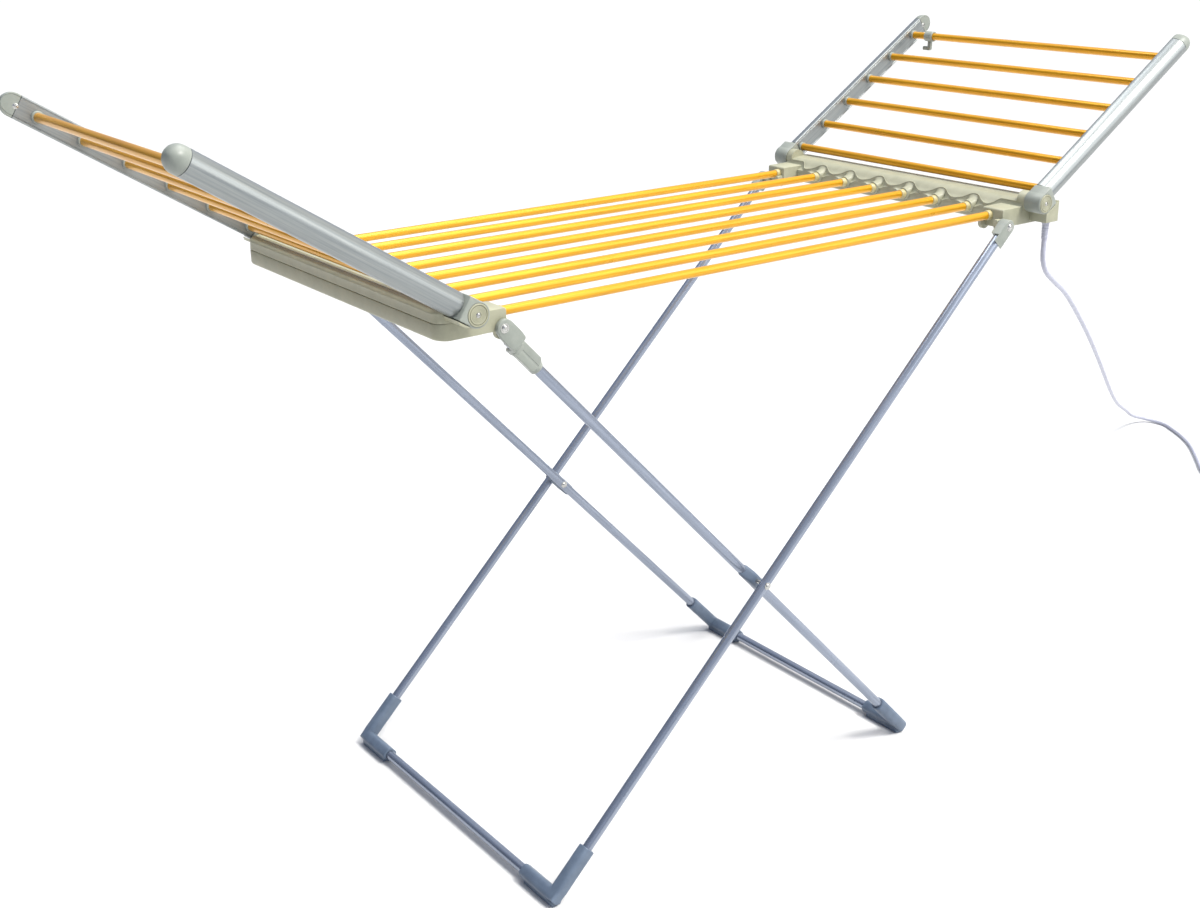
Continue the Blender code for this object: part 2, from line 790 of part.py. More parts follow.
def fitting_a(name, top, foot, side, frame):
    """An ear that hooks over the housing's spigot, and a long sleeve."""
    along = (foot - top).normalized()
    ring = stadium(top, along, 0, 0.040, 0.0095)
    inner_y = HOUSING_HALF_WIDTH + GAP
    thick = 0.0062
    obj = plate(name, [ring], side * inner_y, side * thick)
    step = plate(
        f"{name}_step",
        [stadium(top, along, 0.0365, 0.047, 0.0082)],
        side * (A_Y - 0.002),
        side * (inner_y + 0.004 - A_Y + 0.002),
    )
    join(obj, hidden(step, f"{name}_step", frame))
    centre = top + Vector((0, side * A_Y, 0))
    sleeve = rods(f"{name}_sleeve", [(centre + along * 0.027, centre + along * 0.084, 0.0092)])
    join(obj, hidden(sleeve, f"{name}_sleeve", frame))
    bore = LEG_RADIUS + GAP
    room = rods(f"{name}_bore", [(centre + along * 0.031, centre + along * 0.1, bore)])
    cut(obj, hidden(room, f"{name}_bore", frame))
    deep = HOUSING_HALF_WIDTH + 0.0036
    slot = arc((top.x, top.z), 0.0036, 90, 270, 12)
    slot += [(top.x + 0.02, top.z - 0.0036), (top.x + 0.02, top.z + 0.0036)]
    mouth = plate(f"{name}_mouth", [slot], side * 0.2300, side * (deep - 0.2300))
    cut(obj, hidden(mouth, f"{name}_mouth", frame))
    return part(obj, name, "plastic", frame)


def crossing_rivet(name, place, side, frame):
    """A shouldered rivet: heads outside both tubes and a collar between."""
    shank = 0.0024
    a_out = A_Y + LEG_RADIUS
    b_in = B_Y - LEG_RADIUS
    top = B_Y + LEG_RADIUS + 0.0005
    bottom = A_Y - LEG_RADIUS - 0.0005
    profile = [
        (0, top + 0.0022),
        (0.0035, top + 0.0018),
        (0.0052, top),
        (shank, top),
        (shank, b_in - 0.0005),
        (0.0080, b_in - 0.0005),
        (0.0080, a_out + 0.0005),
        (shank, a_out + 0.0005),
        (shank, bottom),
        (0.0052, bottom),
        (0.0035, bottom - 0.0018),
        (0, bottom - 0.0022),
    ]
    rivet = turned(name, profile, SIDES)
    rivet.location = place
    rivet.rotation_euler = (-side * math.pi / 2, 0, 0)
    return part(rivet, name, "steel", frame)


def legs():
    cross = crossing()
    pivot_b = Vector((B_PIVOT_X, 0, LEG_PIVOT_Z))
    pivot_a = Vector((A_PIVOT_X, 0, LEG_PIVOT_Z))
    frame_b = joint_empty("legs_b_pivot", pivot_b)
    frame_a = joint_empty("legs_a_pivot", cross - pivot_b, frame_b)
    top_b = Vector()
    foot_b = B_LEG
    cross_b = cross - pivot_b
    top_a = pivot_a - cross
    foot_a = top_a + A_LEG
    for side, edge in ((-1, "near"), (1, "far")):
        y = side * B_Y
        leg_tube(f"legs_b_tube_{edge}", top_b, foot_b, y, 0.0195, cross_b, frame_b)
        elbow(f"legs_b_elbow_{edge}", top_b, foot_b, y, frame_b)
        fitting_b(f"legs_b_top_{edge}", top_b, foot_b, side, frame_b)
        crossing_rivet(f"crossing_rivet_{edge}", cross_b, side, frame_b)
        y = side * A_Y
        leg_tube(f"legs_a_tube_{edge}", top_a, foot_a, y, 0.0315, Vector(), frame_a)
        elbow(f"legs_a_elbow_{edge}", top_a, foot_a, y, frame_a)
        fitting_a(f"legs_a_top_{edge}", top_a, foot_a, side, frame_a)
    foot_tube("legs_b_foot_tube", foot_b, B_Y, frame_b)
    foot_tube("legs_a_foot_tube", foot_a, A_Y, frame_a)


# ---------------------------------------------------------------- cord

# The cord's route from the strain relief to the plug, chosen by hand.
CORD_ROUTE = [
    (0.4710, -0.2470, 0.7190),
    (0.4711, -0.2470, 0.7060),
    (0.4722, -0.2468, 0.6900),
    (0.4850, -0.2440, 0.6700),
    (0.522, -0.231, 0.648),
    (0.584, -0.205, 0.617),
    (0.670, -0.163, 0.569),
    (0.802, -0.098, 0.489),
    (0.939, -0.025, 0.407),
    (1.100, 0.065, 0.313),
    (1.261, 0.160, 0.229),
    (1.432, 0.261, 0.147),
    (1.584, 0.343, 0.079),
    (1.694, 0.396, 0.028),
    (1.748, 0.398, 0.0080),
    (1.760, 0.358, 0.0038),
    (1.741, 0.318, 0.0038),
    (1.716, 0.278, 0.0038),
    (1.679, 0.233, 0.0038),
    (1.622, 0.180, 0.0038),
    (1.568, 0.132, 0.0038),
    (1.522, 0.082, 0.0038),
    (1.486, 0.034, 0.0044),
    (1.458, -0.004, 0.0130),
]


def smooth_route(points, spacing):
    """Evenly spaced points on a smooth curve through the route's points."""
    places = [Vector(p) for p in points]
    padded = [2 * places[0] - places[1], *places, 2 * places[-1] - places[-2]]
    fine = []
    for i in range(len(places) - 1):
        a, b, c, d = padded[i : i + 4]
        for k in range(40):
            t = k / 40
            fine.append(
                0.5
                * (
                    2 * b
                    + (c - a) * t
                    + (2 * a - 5 * b + 4 * c - d) * t**2
                    + (3 * b - a - 3 * c + d) * t**3
                )
            )
    fine.append(places[-1])
    lengths = [(q - p).length for p, q in zip(fine, fine[1:])]
    count = max(2, round(sum(lengths) / spacing))
    step = sum(lengths) / count
    even = [fine[0]]
    gone = 0
    for p, q, length in zip(fine, fine[1:], lengths):
        while gone + length >= step * len(even) and len(even) < count:
            even.append(p.lerp(q, (step * len(even) - gone) / length))
        gone += length
    even.append(fine[-1])
    return even


def cord():
    relief_top = OUTLET_BOTTOM_Z - GAP
    relief_end = relief_top - RELIEF_LENGTH
    profile = [
        (0, relief_top),
        (0.0056, relief_top),
        (0.0056, relief_top - 0.003),
        (0.0050, relief_top - 0.004),
        (0.0042, relief_end),
        (0, relief_end),
    ]
    relief = turned("strain_relief", profile)
    relief.location = (CORD_X, CORD_Y, 0)
    part(relief, "strain_relief", "cord")
    points = smooth_route(CORD_ROUTE, 0.028)
    points[0] = Vector((CORD_X, CORD_Y, relief_end - GAP))
    flex = bent_rod("mains_cord", points, CORD_RADIUS, 2)
    part(flex, "mains_cord", "cord")
    plug(points[-1], (points[-1] - points[-2]).normalized())


def plug(end, heading):
    """A two-pin plug that lies flat beyond the end of the cord."""
    flat = Vector((heading.x, heading.y, 0)).normalized()
    start = end + heading * GAP
    across = Vector((-flat.y, flat.x, 0))
    centre_z = 0.0131
    first = Vector((start.x, start.y, centre_z))
    mesh = bpy.data.meshes.new("mains_plug")
    shape = bmesh.new()
    frame = Matrix.Identity(4)
    frame.col[0] = (*flat, 0)
    frame.col[1] = (*across, 0)
    grip = Matrix.Translation(first + flat * 0.0185 + flat * 0.0012) @ frame
    bmesh.ops.create_cube(
        shape, size=1, matrix=grip @ Matrix.Diagonal((0.034, 0.030, 0.026, 1))
    )
    shape.to_mesh(mesh)
    shape.free()
    body = new_object("mains_plug", mesh)
    bevel(body, 0.006, 3)
    for sign in (-1, 1):
        root = first + flat * 0.034 + across * 0.0095 * sign
        pin = rods(f"plug_pin_{sign}", [(root, root + flat * 0.021, 0.0024)], 12)
        join(body, hidden(pin, f"plug_pin_{sign}"))
    part(body, "mains_plug", "cord")


start_scene()
deck()
wings()
legs()
cord()
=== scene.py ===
"""The looks of a heated, folding clothes airer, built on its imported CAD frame.

+X runs along the airer towards the cord's end, Y across it and Z up. Places are
read from the frame, and the small sizes of each moulding are named here.
"""

import json
import math

import bmesh
import bpy
from mathutils import Matrix, Vector


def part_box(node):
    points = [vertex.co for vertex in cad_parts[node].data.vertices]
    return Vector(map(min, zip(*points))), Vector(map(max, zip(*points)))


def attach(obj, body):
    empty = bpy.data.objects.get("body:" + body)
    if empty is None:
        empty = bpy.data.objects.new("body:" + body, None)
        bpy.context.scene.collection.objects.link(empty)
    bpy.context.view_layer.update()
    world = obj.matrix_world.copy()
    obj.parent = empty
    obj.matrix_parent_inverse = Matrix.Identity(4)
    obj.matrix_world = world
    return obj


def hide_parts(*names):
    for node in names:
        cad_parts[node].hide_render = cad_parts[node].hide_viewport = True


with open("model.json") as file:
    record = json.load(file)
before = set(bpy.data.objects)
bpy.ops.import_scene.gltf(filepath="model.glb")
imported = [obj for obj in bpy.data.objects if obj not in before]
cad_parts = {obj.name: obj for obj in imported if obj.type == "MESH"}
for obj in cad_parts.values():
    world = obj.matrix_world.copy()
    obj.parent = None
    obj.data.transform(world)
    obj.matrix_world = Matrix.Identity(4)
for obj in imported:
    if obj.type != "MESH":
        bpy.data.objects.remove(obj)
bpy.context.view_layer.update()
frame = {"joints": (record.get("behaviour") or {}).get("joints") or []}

X = Vector((1, 0, 0))
Y = Vector((0, 1, 0))
Z = Vector((0, 0, 1))


# ---------------------------------------------------------------- places


def centre(node):
    low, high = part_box(node)
    return (low + high) / 2


def joint_place(name):
    """The point that a joint turns about, in metres."""
    return Vector(next(j for j in frame["joints"] if j["name"] == name)["pos_m"])


HINGE = joint_place("right_wing_hinge")
LEG_PIVOT = joint_place("legs_fold")
CROSSING = joint_place("legs_cross")

EDGES = (("near", -1), ("far", 1))

BAR_RADIUS = 0.0055
DECK_BARS = [f"deck_bar_{i}" for i in range(1, 9)]
BAR_YS = [centre(name).y for name in DECK_BARS]
BAR_Z = centre("deck_bar_1").z
BAR_PITCH = BAR_YS[1] - BAR_YS[0]
WING_OUT = (centre("right_wing_bar_6") - HINGE).normalized()
WING_OUT.y = 0
WING_OUT.normalize()

RAIL_FACE_Y = 0.236
RAIL_DEPTH = 0.020
RAIL_HALF = 0.014
RAIL_ROOT = 0.0187
RAIL_END = 0.341
WING_REACH = 0.347

LEG_RADIUS = 0.0065
LEG_WALL = 0.001
ELBOW_UPRIGHT = 0.070
ELBOW_LEVEL = 0.066


# ---------------------------------------------------------------- camera


def add(name, data):
    """A new object in the scene."""
    made = bpy.data.objects.new(name, data)
    bpy.context.scene.collection.objects.link(made)
    return made


CAMERA_PLACE = (-1.24888, -1.55522, 1.18275)
CAMERA_RIGHT = Vector((0.80355, -0.59512, -0.01201))
CAMERA_UP = Vector((0.21646, 0.27335, 0.93724))
LENS_MM = 46.04


def make_camera():
    data = bpy.data.cameras.new("camera")
    data.sensor_width = 36
    data.lens = LENS_MM
    camera = add("camera", data)
    back = CAMERA_RIGHT.cross(CAMERA_UP)
    turn = Matrix((CAMERA_RIGHT, CAMERA_UP, back)).transposed().to_4x4()
    camera.matrix_world = Matrix.Translation(CAMERA_PLACE) @ turn
    bpy.context.scene.camera = camera


# ---------------------------------------------------------------- shapes


class Shell:
    """Corners and faces of one piece while it is put together."""

    def __init__(self):
        self.corners = []
        self.faces = []

    def loft(self, rings, caps=True, looped=False):
        """A skin over rings that have the same number of corners."""
        base = len(self.corners)
        size = len(rings[0])
        count = len(rings)
        for ring in rings:
            self.corners.extend(ring)
        for i in range(count if looped else count - 1):
            a = base + i * size
            b = base + (i + 1) % count * size
            for k in range(size):
                j = (k + 1) % size
                self.faces.append((a + k, a + j, b + j, b + k))
        if caps and not looped:
            self.faces.append(tuple(base + k for k in reversed(range(size))))
            self.faces.append(tuple(base + (count - 1) * size + k for k in range(size)))

    def turned(self, profile, place, axis, steps=48, looped=False):
        """A turned solid: (radius, height) pairs along an axis from a place."""
        axis = Vector(axis).normalized()
        first = axis.orthogonal().normalized()
        second = axis.cross(first)
        rings = []
        for radius, height in profile:
            middle = Vector(place) + axis * height
            rings.append([
                middle + (first * math.cos(t) + second * math.sin(t)) * radius
                for t in (2 * math.pi * k / steps for k in range(steps))
            ])
        self.loft(rings, caps=True, looped=looped)

    def pipe(self, start, end, radius, wall, steps=40, lip=0.0003):
        """A straight hollow tube with slightly rounded rims."""
        run = Vector(end) - Vector(start)
        far = run.length
        inner = radius - wall
        profile = [
            (radius - lip, 0),
            (radius, lip),
            (radius, far - lip),
            (radius - lip, far),
            (inner, far),
            (inner, 0),
        ]
        self.turned(profile, start, run, steps, looped=True)

    def slab(self, outline, place, low, high, round_by=0.001, steps=3):
        """An outline filled from low to high, with rounded edges.

        place(u, v, w) gives a point in space.
        """
        outline = anticlockwise(outline)
        rings = []
        quarter = [math.pi / 2 * k / steps for k in range(steps + 1)]
        for t in quarter:
            ring = inset(outline, round_by * (1 - math.sin(t)))
            depth = low + round_by * (1 - math.cos(t)) * (1 if high > low else -1)
            rings.append([place(u, v, depth) for u, v in ring])
        for t in reversed(quarter):
            ring = inset(outline, round_by * (1 - math.sin(t)))
            depth = high - round_by * (1 - math.cos(t)) * (1 if high > low else -1)
            rings.append([place(u, v, depth) for u, v in ring])
        self.loft(rings)

    def screw_head(self, place, axis, radius, height, turn=0.3, cross=False):
        """A domed head with a slot, or a cross, cut into it."""
        axis = Vector(axis).normalized()
        first = axis.orthogonal().normalized()
        second = axis.cross(first)
        rings = []
        steps = 64
        for i in range(15):
            share = 1 - i / 14
            ring = []
            for k in range(steps):
                t = 2 * math.pi * k / steps
                u = radius * share * math.cos(t)
                v = radius * share * math.sin(t)
                across = u * math.cos(turn) + v * math.sin(turn)
                along = -u * math.sin(turn) + v * math.cos(turn)
                rise = height * (1 - 0.55 * share**2)
                slot = abs(across) < radius * 0.17
                if cross:
                    slot = (slot or abs(along) < radius * 0.17) and share < 0.72
                if slot:
                    rise -= height * 0.62
                ring.append(Vector(place) + first * u + second * v + axis * rise)
            rings.append(ring)
        skirt = [p - axis * (p - Vector(place)).dot(axis) for p in rings[0]]
        self.loft([skirt, *rings])


def anticlockwise(outline):
    area = 0
    for (a, b), (c, d) in zip(outline, outline[1:] + outline[:1]):
        area += a * d - b * c
    return list(outline) if area > 0 else list(reversed(outline))


def inset(outline, amount):
    """The outline moved inwards by an amount, with mitred corners."""
    count = len(outline)
    moved = []
    for i in range(count):
        before = Vector(outline[i - 1])
        here = Vector(outline[i])
        after = Vector(outline[(i + 1) % count])
        first = (here - before).normalized()
        second = (after - here).normalized()
        normal_a = Vector((-first.y, first.x))
        normal_b = Vector((-second.y, second.x))
        mitre = (normal_a + normal_b) / max(0.35, 1 + normal_a.dot(normal_b))
        moved.append(tuple(here + mitre * amount))
    return moved


def smoothed_corners(outline, radius):
    """An outline with each corner rounded off."""
    rounded = []
    count = len(outline)
    for i in range(count):
        before = Vector(outline[i - 1])
        here = Vector(outline[i])
        after = Vector(outline[(i + 1) % count])
        reach_a = min(radius, (before - here).length * 0.45)
        reach_b = min(radius, (after - here).length * 0.45)
        start = here + (before - here).normalized() * reach_a
        end = here + (after - here).normalized() * reach_b
        for k in range(4):
            t = k / 3
            rounded.append(tuple(start * (1 - t) ** 2 + here * 2 * t * (1 - t) + end * t**2))
    return rounded


def arc(middle, radius, start, end, steps):
    """Points round an arc, with its angles in degrees."""
    points = []
    for i in range(steps + 1):
        t = math.radians(start + (end - start) * i / steps)
        points.append((middle[0] + radius * math.cos(t), middle[1] + radius * math.sin(t)))
    return points


def superellipse(middle, first, second, half_a, half_b, power, low=None, steps=48):
    """A rounded square ring. low is its half height on the negative side."""
    ring = []
    for k in range(steps):
        t = 2 * math.pi * k / steps
        c = math.cos(t)
        s = math.sin(t)
        reach = (abs(c) ** power + abs(s) ** power) ** (-1 / power)
        height = half_b if s >= 0 or low is None else low
        ring.append(middle + first * c * reach * half_a + second * s * reach * height)
    return ring


def smooth(points, parts=6):
    """A denser line through 2-D or 3-D points, without corners."""
    points = [Vector(p) for p in points]
    padded = [2 * points[0] - points[1], *points, 2 * points[-1] - points[-2]]
    fine = []
    for i in range(len(points) - 1):
        a, b, c, d = padded[i : i + 4]
        for k in range(parts):
            t = k / parts
            fine.append(
                0.5
                * (
                    2 * b
                    + (c - a) * t
                    + (2 * a - 5 * b + 4 * c - d) * t**2
                    + (3 * b - a - 3 * c + d) * t**3
                )
            )
    fine.append(points[-1])
    return fine


def ease(t):
    t = max(0.0, min(1.0, t))
    return t * t * (3 - 2 * t)


def put(shell, name, body, paint, stands_for=(), sharp=35):
    """Make the shell a piece that rides on a body."""
    mesh = bpy.data.meshes.new(name)
    mesh.from_pydata([tuple(c) for c in shell.corners], [], shell.faces)
    form = bmesh.new()
    form.from_mesh(mesh)
    bmesh.ops.remove_doubles(form, verts=form.verts, dist=0.0000015)
    bmesh.ops.recalc_face_normals(form, faces=form.faces)
    form.to_mesh(mesh)
    form.free()
    mesh.shade_smooth()
    mesh.set_sharp_from_angle(angle=math.radians(sharp))
    mesh.materials.append(paint)
    piece = add(name, mesh)
    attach(piece, body)
    if stands_for:
        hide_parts(*stands_for)
    return piece


# ---------------------------------------------------------------- materials


def linear(red, green, blue):
    """A colour given as screen values from 0 to 255."""
    shades = []
    for value in (red, green, blue):
        value /= 255
        shades.append(value / 12.92 if value <= 0.04045 else ((value + 0.055) / 1.055) ** 2.4)
    return (*shades, 1)


def finish_coat(
    name,
    dark,
    light,
    roughness,
    metallic=0.0,
    along=None,
    stretch=30,
    scale=220,
    bump=0.12,
    grain=0,
    wear=0.0,
    coat=0.0,
    blotch=0.12,
):
    """A coat with fine streaks or grain, faint blotches and worn edges."""
    paint = bpy.data.materials.new(name)
    paint.use_nodes = True
    nodes = paint.node_tree.nodes
    link = paint.node_tree.links.new
    shader = nodes["Principled BSDF"]
    shader.inputs["Metallic"].default_value = metallic
    shader.inputs["Coat Weight"].default_value = coat
    shader.inputs["Coat Roughness"].default_value = 0.18
    place = nodes.new("ShaderNodeTexCoord")

    streaks = nodes.new("ShaderNodeTexNoise")
    streaks.inputs["Scale"].default_value = scale
    streaks.inputs["Detail"].default_value = 4
    streaks.inputs["Roughness"].default_value = 0.6
    if along is not None:
        turn = nodes.new("ShaderNodeMapping")
        turn.vector_type = "TEXTURE"
        turn.inputs["Rotation"].default_value = X.rotation_difference(Vector(along)).to_euler()
        turn.inputs["Scale"].default_value = (stretch, 1, 1)
        link(place.outputs["Object"], turn.inputs["Vector"])
        link(turn.outputs["Vector"], streaks.inputs["Vector"])
    else:
        link(place.outputs["Object"], streaks.inputs["Vector"])

    ramp = nodes.new("ShaderNodeValToRGB")
    ramp.color_ramp.elements[0].position = 0.3
    ramp.color_ramp.elements[0].color = dark
    ramp.color_ramp.elements[1].position = 0.7
    ramp.color_ramp.elements[1].color = light
    link(streaks.outputs["Fac"], ramp.inputs["Fac"])

    patches = nodes.new("ShaderNodeTexNoise")
    patches.inputs["Scale"].default_value = 14
    patches.inputs["Detail"].default_value = 3
    link(place.outputs["Object"], patches.inputs["Vector"])
    shade = nodes.new("ShaderNodeMapRange")
    shade.inputs["From Min"].default_value = 0.3
    shade.inputs["From Max"].default_value = 0.7
    shade.inputs["To Min"].default_value = 1 - blotch
    shade.inputs["To Max"].default_value = 1
    link(patches.outputs["Fac"], shade.inputs["Value"])
    tint = nodes.new("ShaderNodeMix")
    tint.data_type = "RGBA"
    tint.blend_type = "MULTIPLY"
    tint.inputs["Factor"].default_value = 1
    link(ramp.outputs["Color"], tint.inputs["A"])
    link(shade.outputs["Result"], tint.inputs["B"])
    colour = tint.outputs["Result"]

    if wear:
        edges = nodes.new("ShaderNodeNewGeometry")
        worn = nodes.new("ShaderNodeMapRange")
        worn.inputs["From Min"].default_value = 0.53
        worn.inputs["From Max"].default_value = 0.64
        worn.inputs["To Max"].default_value = wear
        link(edges.outputs["Pointiness"], worn.inputs["Value"])
        rub = nodes.new("ShaderNodeMix")
        rub.data_type = "RGBA"
        rub.inputs["B"].default_value = tuple(min(1, c * 1.5) for c in light[:3]) + (1,)
        link(worn.outputs["Result"], rub.inputs["Factor"])
        link(colour, rub.inputs["A"])
        colour = rub.outputs["Result"]
    link(colour, shader.inputs["Base Color"])

    gloss = nodes.new("ShaderNodeMapRange")
    gloss.inputs["To Min"].default_value = roughness - 0.07
    gloss.inputs["To Max"].default_value = roughness + 0.07
    link(patches.outputs["Fac"], gloss.inputs["Value"])
    link(gloss.outputs["Result"], shader.inputs["Roughness"])

    height = nodes.new("ShaderNodeBump")
    height.inputs["Strength"].default_value = bump
    height.inputs["Distance"].default_value = 0.0002
    if grain:
        pits = nodes.new("ShaderNodeTexNoise")
        pits.inputs["Scale"].default_value = grain
        pits.inputs["Detail"].default_value = 2
        link(place.outputs["Object"], pits.inputs["Vector"])
        link(pits.outputs["Fac"], height.inputs["Height"])
    else:
        link(streaks.outputs["Fac"], height.inputs["Height"])
    link(height.outputs["Normal"], shader.inputs["Normal"])
    return paint


def gold(name, along):
    return finish_coat(
        name, linear(206, 144, 6), linear(226, 166, 14), 0.30, 0.45, along, 40, 300, 0.05,
        coat=0.3, blotch=0.05,
    )


def silver(name, along):
    return finish_coat(
        name, linear(134, 140, 142), linear(160, 164, 162), 0.36, 0.8, along, 60, 420, 0.10,
        blotch=0.05,
    )


def leg_paint(name, along):
    return finish_coat(
        name, linear(134, 143, 158), linear(158, 166, 181), 0.26, 0.8, along, 50, 420, 0.08,
        blotch=0.06,
    )


GOLD_X = gold("gold_along_deck", X)
GOLD_Y = gold("gold_across_wing", Y)
HOUSING = finish_coat(
    "housing_moulding", linear(150, 150, 128), linear(162, 161, 138), 0.44,
    scale=60, grain=1400, bump=0.22, wear=0.35, blotch=0.05,
)
WING_PLASTIC = finish_coat(
    "wing_moulding", linear(132, 138, 130), linear(145, 150, 142), 0.40,
    scale=70, grain=1500, bump=0.2, wear=0.4, blotch=0.05,
)
COLLAR = finish_coat(
    "bar_collar", linear(172, 160, 112), linear(186, 175, 130), 0.45,
    scale=90, grain=1500, bump=0.15, blotch=0.05,
)
FOOT_PLASTIC = finish_coat(
    "foot_moulding", linear(84, 98, 116), linear(98, 112, 130), 0.38,
    scale=60, grain=1200, bump=0.3, wear=0.5, blotch=0.12,
)
STEEL = finish_coat(
    "bright_steel", linear(176, 176, 172), linear(206, 206, 202), 0.22, 1.0,
    scale=500, bump=0.05, blotch=0.1,
)
CORD_COAT = finish_coat(
    "cord_sheath", linear(168, 170, 184), linear(184, 186, 200), 0.42,
    scale=120, grain=900, bump=0.12, blotch=0.05,
)
PLUG_COAT = finish_coat(
    "plug_moulding", linear(178, 180, 188), linear(192, 194, 202), 0.38,
    scale=80, grain=1100, bump=0.2, wear=0.3, blotch=0.05,
)


# ---------------------------------------------------------------- cord

CORD_RADIUS = 0.0035
OUTLET_BOTTOM_Z = 0.7445
RELIEF_LENGTH = 0.025
GAP = 0.0003

CORD_ROUTE = [
    (0.4710, -0.2470, 0.7190),
    (0.4711, -0.2470, 0.7060),
    (0.4722, -0.2468, 0.6900),
    (0.4850, -0.2440, 0.6700),
    (0.522, -0.231, 0.648),
    (0.584, -0.205, 0.617),
    (0.670, -0.163, 0.569),
    (0.802, -0.098, 0.489),
    (0.939, -0.025, 0.407),
    (1.100, 0.065, 0.313),
    (1.261, 0.160, 0.229),
    (1.432, 0.261, 0.147),
    (1.584, 0.343, 0.079),
    (1.694, 0.396, 0.028),
    (1.748, 0.398, 0.0080),
    (1.760, 0.358, 0.0038),
    (1.741, 0.318, 0.0038),
    (1.716, 0.278, 0.0038),
    (1.679, 0.233, 0.0038),
    (1.622, 0.180, 0.0038),
    (1.568, 0.132, 0.0038),
    (1.522, 0.082, 0.0038),
    (1.486, 0.034, 0.0044),
    (1.458, -0.004, 0.0130),
]


def evenly(points, spacing):
    """Evenly spaced points along a line, with both of its ends."""
    lengths = [(q - p).length for p, q in zip(points, points[1:])]
    count = max(2, round(sum(lengths) / spacing))
    step = sum(lengths) / count
    even = [points[0]]
    gone = 0
    for p, q, length in zip(points, points[1:], lengths):
        while gone + length >= step * len(even) and len(even) < count:
            even.append(p.lerp(q, (step * len(even) - gone) / length))
        gone += length
    even.append(points[-1])
    return even


def make_cord():
    points = evenly(smooth(CORD_ROUTE, 40), 0.010)
    exit_z = OUTLET_BOTTOM_Z - 2 * GAP - RELIEF_LENGTH
    points[0] = Vector((CORD_ROUTE[0][0], CORD_ROUTE[0][1], exit_z))
    data = bpy.data.curves.new("flex", "CURVE")
    data.dimensions = "3D"
    data.bevel_depth = CORD_RADIUS
    data.bevel_resolution = 5
    data.use_fill_caps = True
    line = data.splines.new("POLY")
    line.points.add(len(points) - 1)
    for point, place in zip(line.points, points):
        point.co = (*place, 1)
    line.use_smooth = True
    data.materials.append(CORD_COAT)
    flex = add("flex", data)
    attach(flex, "deck")
    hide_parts("mains_cord")
    plug = make_plug(points[-1], (points[-1] - points[-2]).normalized())
    tuple(points[0])


def make_plug(end, heading):
    """A two-pin plug with a waisted, ribbed grip."""
    flat = Vector((heading.x, heading.y, 0)).normalized()
    across = Vector((-flat.y, flat.x, 0))
    start = end + heading * GAP
    first = Vector((start.x, start.y, 0.0131))

    def section(along, half_wide, half_high, power):
        return superellipse(first + flat * along, across, Z, half_wide, half_high, power, steps=64)

    grip = Shell()
    waist = [
        (0.0030, 0.0058, 0.0056, 2.2),
        (0.0034, 0.0066, 0.0064, 2.2),
        (0.0070, 0.0086, 0.0082, 2.4),
        (0.0110, 0.0100, 0.0090, 2.8),
    ]
    for i in range(5):
        begin = 0.0125 + i * 0.0030
        crest = (0.0108 + i * 0.0003, 0.0096 + i * 0.0004, 3.0)
        groove = (0.0101 + i * 0.0003, 0.0090 + i * 0.0004, 3.0)
        waist += [(begin, *crest), (begin + 0.0004, *groove)]
        waist += [(begin + 0.0012, *groove), (begin + 0.0016, *crest)]
    waist += [
        (0.0290, 0.0128, 0.0112, 3.4),
        (0.0310, 0.0144, 0.0124, 3.6),
        (0.0345, 0.0150, 0.0128, 3.8),
        (0.0358, 0.0148, 0.0126, 3.8),
        (0.0366, 0.0142, 0.0120, 3.8),
    ]
    grip.loft([section(*row) for row in waist])
    grip_piece = put(grip, "plug_grip", "deck", PLUG_COAT, ["mains_plug"])
    pins = Shell()
    for sign in (-1, 1):
        root = first + across * 0.0095 * sign
        profile = [
            (0, 0.034),
            (0.0024, 0.034),
            (0.0024, 0.0525),
            (0.0021, 0.0538),
            (0.0013, 0.0548),
            (0, 0.0550),
        ]
        pins.turned(profile, root, flat, 32)
    pin_piece = put(pins, "plug_pins", "deck", STEEL)
    return [grip_piece, pin_piece]


def make_relief():
    """The ribbed sleeve that the cord comes out of."""
    top = OUTLET_BOTTOM_Z - GAP
    profile = [(0, 0), (0.0056, 0), (0.0056, 0.0030), (0.0050, 0.0036)]
    for i in range(5):
        z = 0.0050 + i * 0.0037
        r = 0.0049 - i * 0.00012
        profile += [(r, z), (r - 0.0005, z + 0.0004), (r - 0.0005, z + 0.0012), (r, z + 0.0016)]
    profile += [(0.0043, 0.0240), (0.0041, 0.0250), (0, 0.0250)]
    shell = Shell()
    shell.turned(profile, (CORD_ROUTE[0][0], CORD_ROUTE[0][1], top), -Z, 40)
    put(shell, "cord_relief", "deck", CORD_COAT, ["strain_relief"])


# ---------------------------------------------------------------- bars


def collar(shell, place, axis, radius, length):
    """A short moulded ring round the end of a bar."""
    profile = [
        (BAR_RADIUS - 0.0008, 0),
        (radius, 0),
        (radius, length - 0.0008),
        (radius - 0.0003, length - 0.0003),
        (radius - 0.0008, length),
        (BAR_RADIUS - 0.0008, length),
    ]
    shell.turned(profile, place, axis, 36, looped=True)


def make_deck_bars():
    collars = Shell()
    for name in DECK_BARS:
        low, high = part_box(name)
        middle = centre(name)
        bar = Shell()
        bar.pipe((low.x, middle.y, middle.z), (high.x, middle.y, middle.z), BAR_RADIUS, 0.0008)
        put(bar, f"heated_{name}", "deck", GOLD_X, [name])
        end_bar = abs(middle.y) > max(BAR_YS) - 0.01
        face = 0.398 if end_bar else 0.4215
        for end in (-1, 1):
            place = Vector((end * (face + 0.001), middle.y, middle.z))
            collar(collars, place, -X * end, 0.0066, 0.0085)
    put(collars, "deck_bar_collars", "deck", COLLAR)


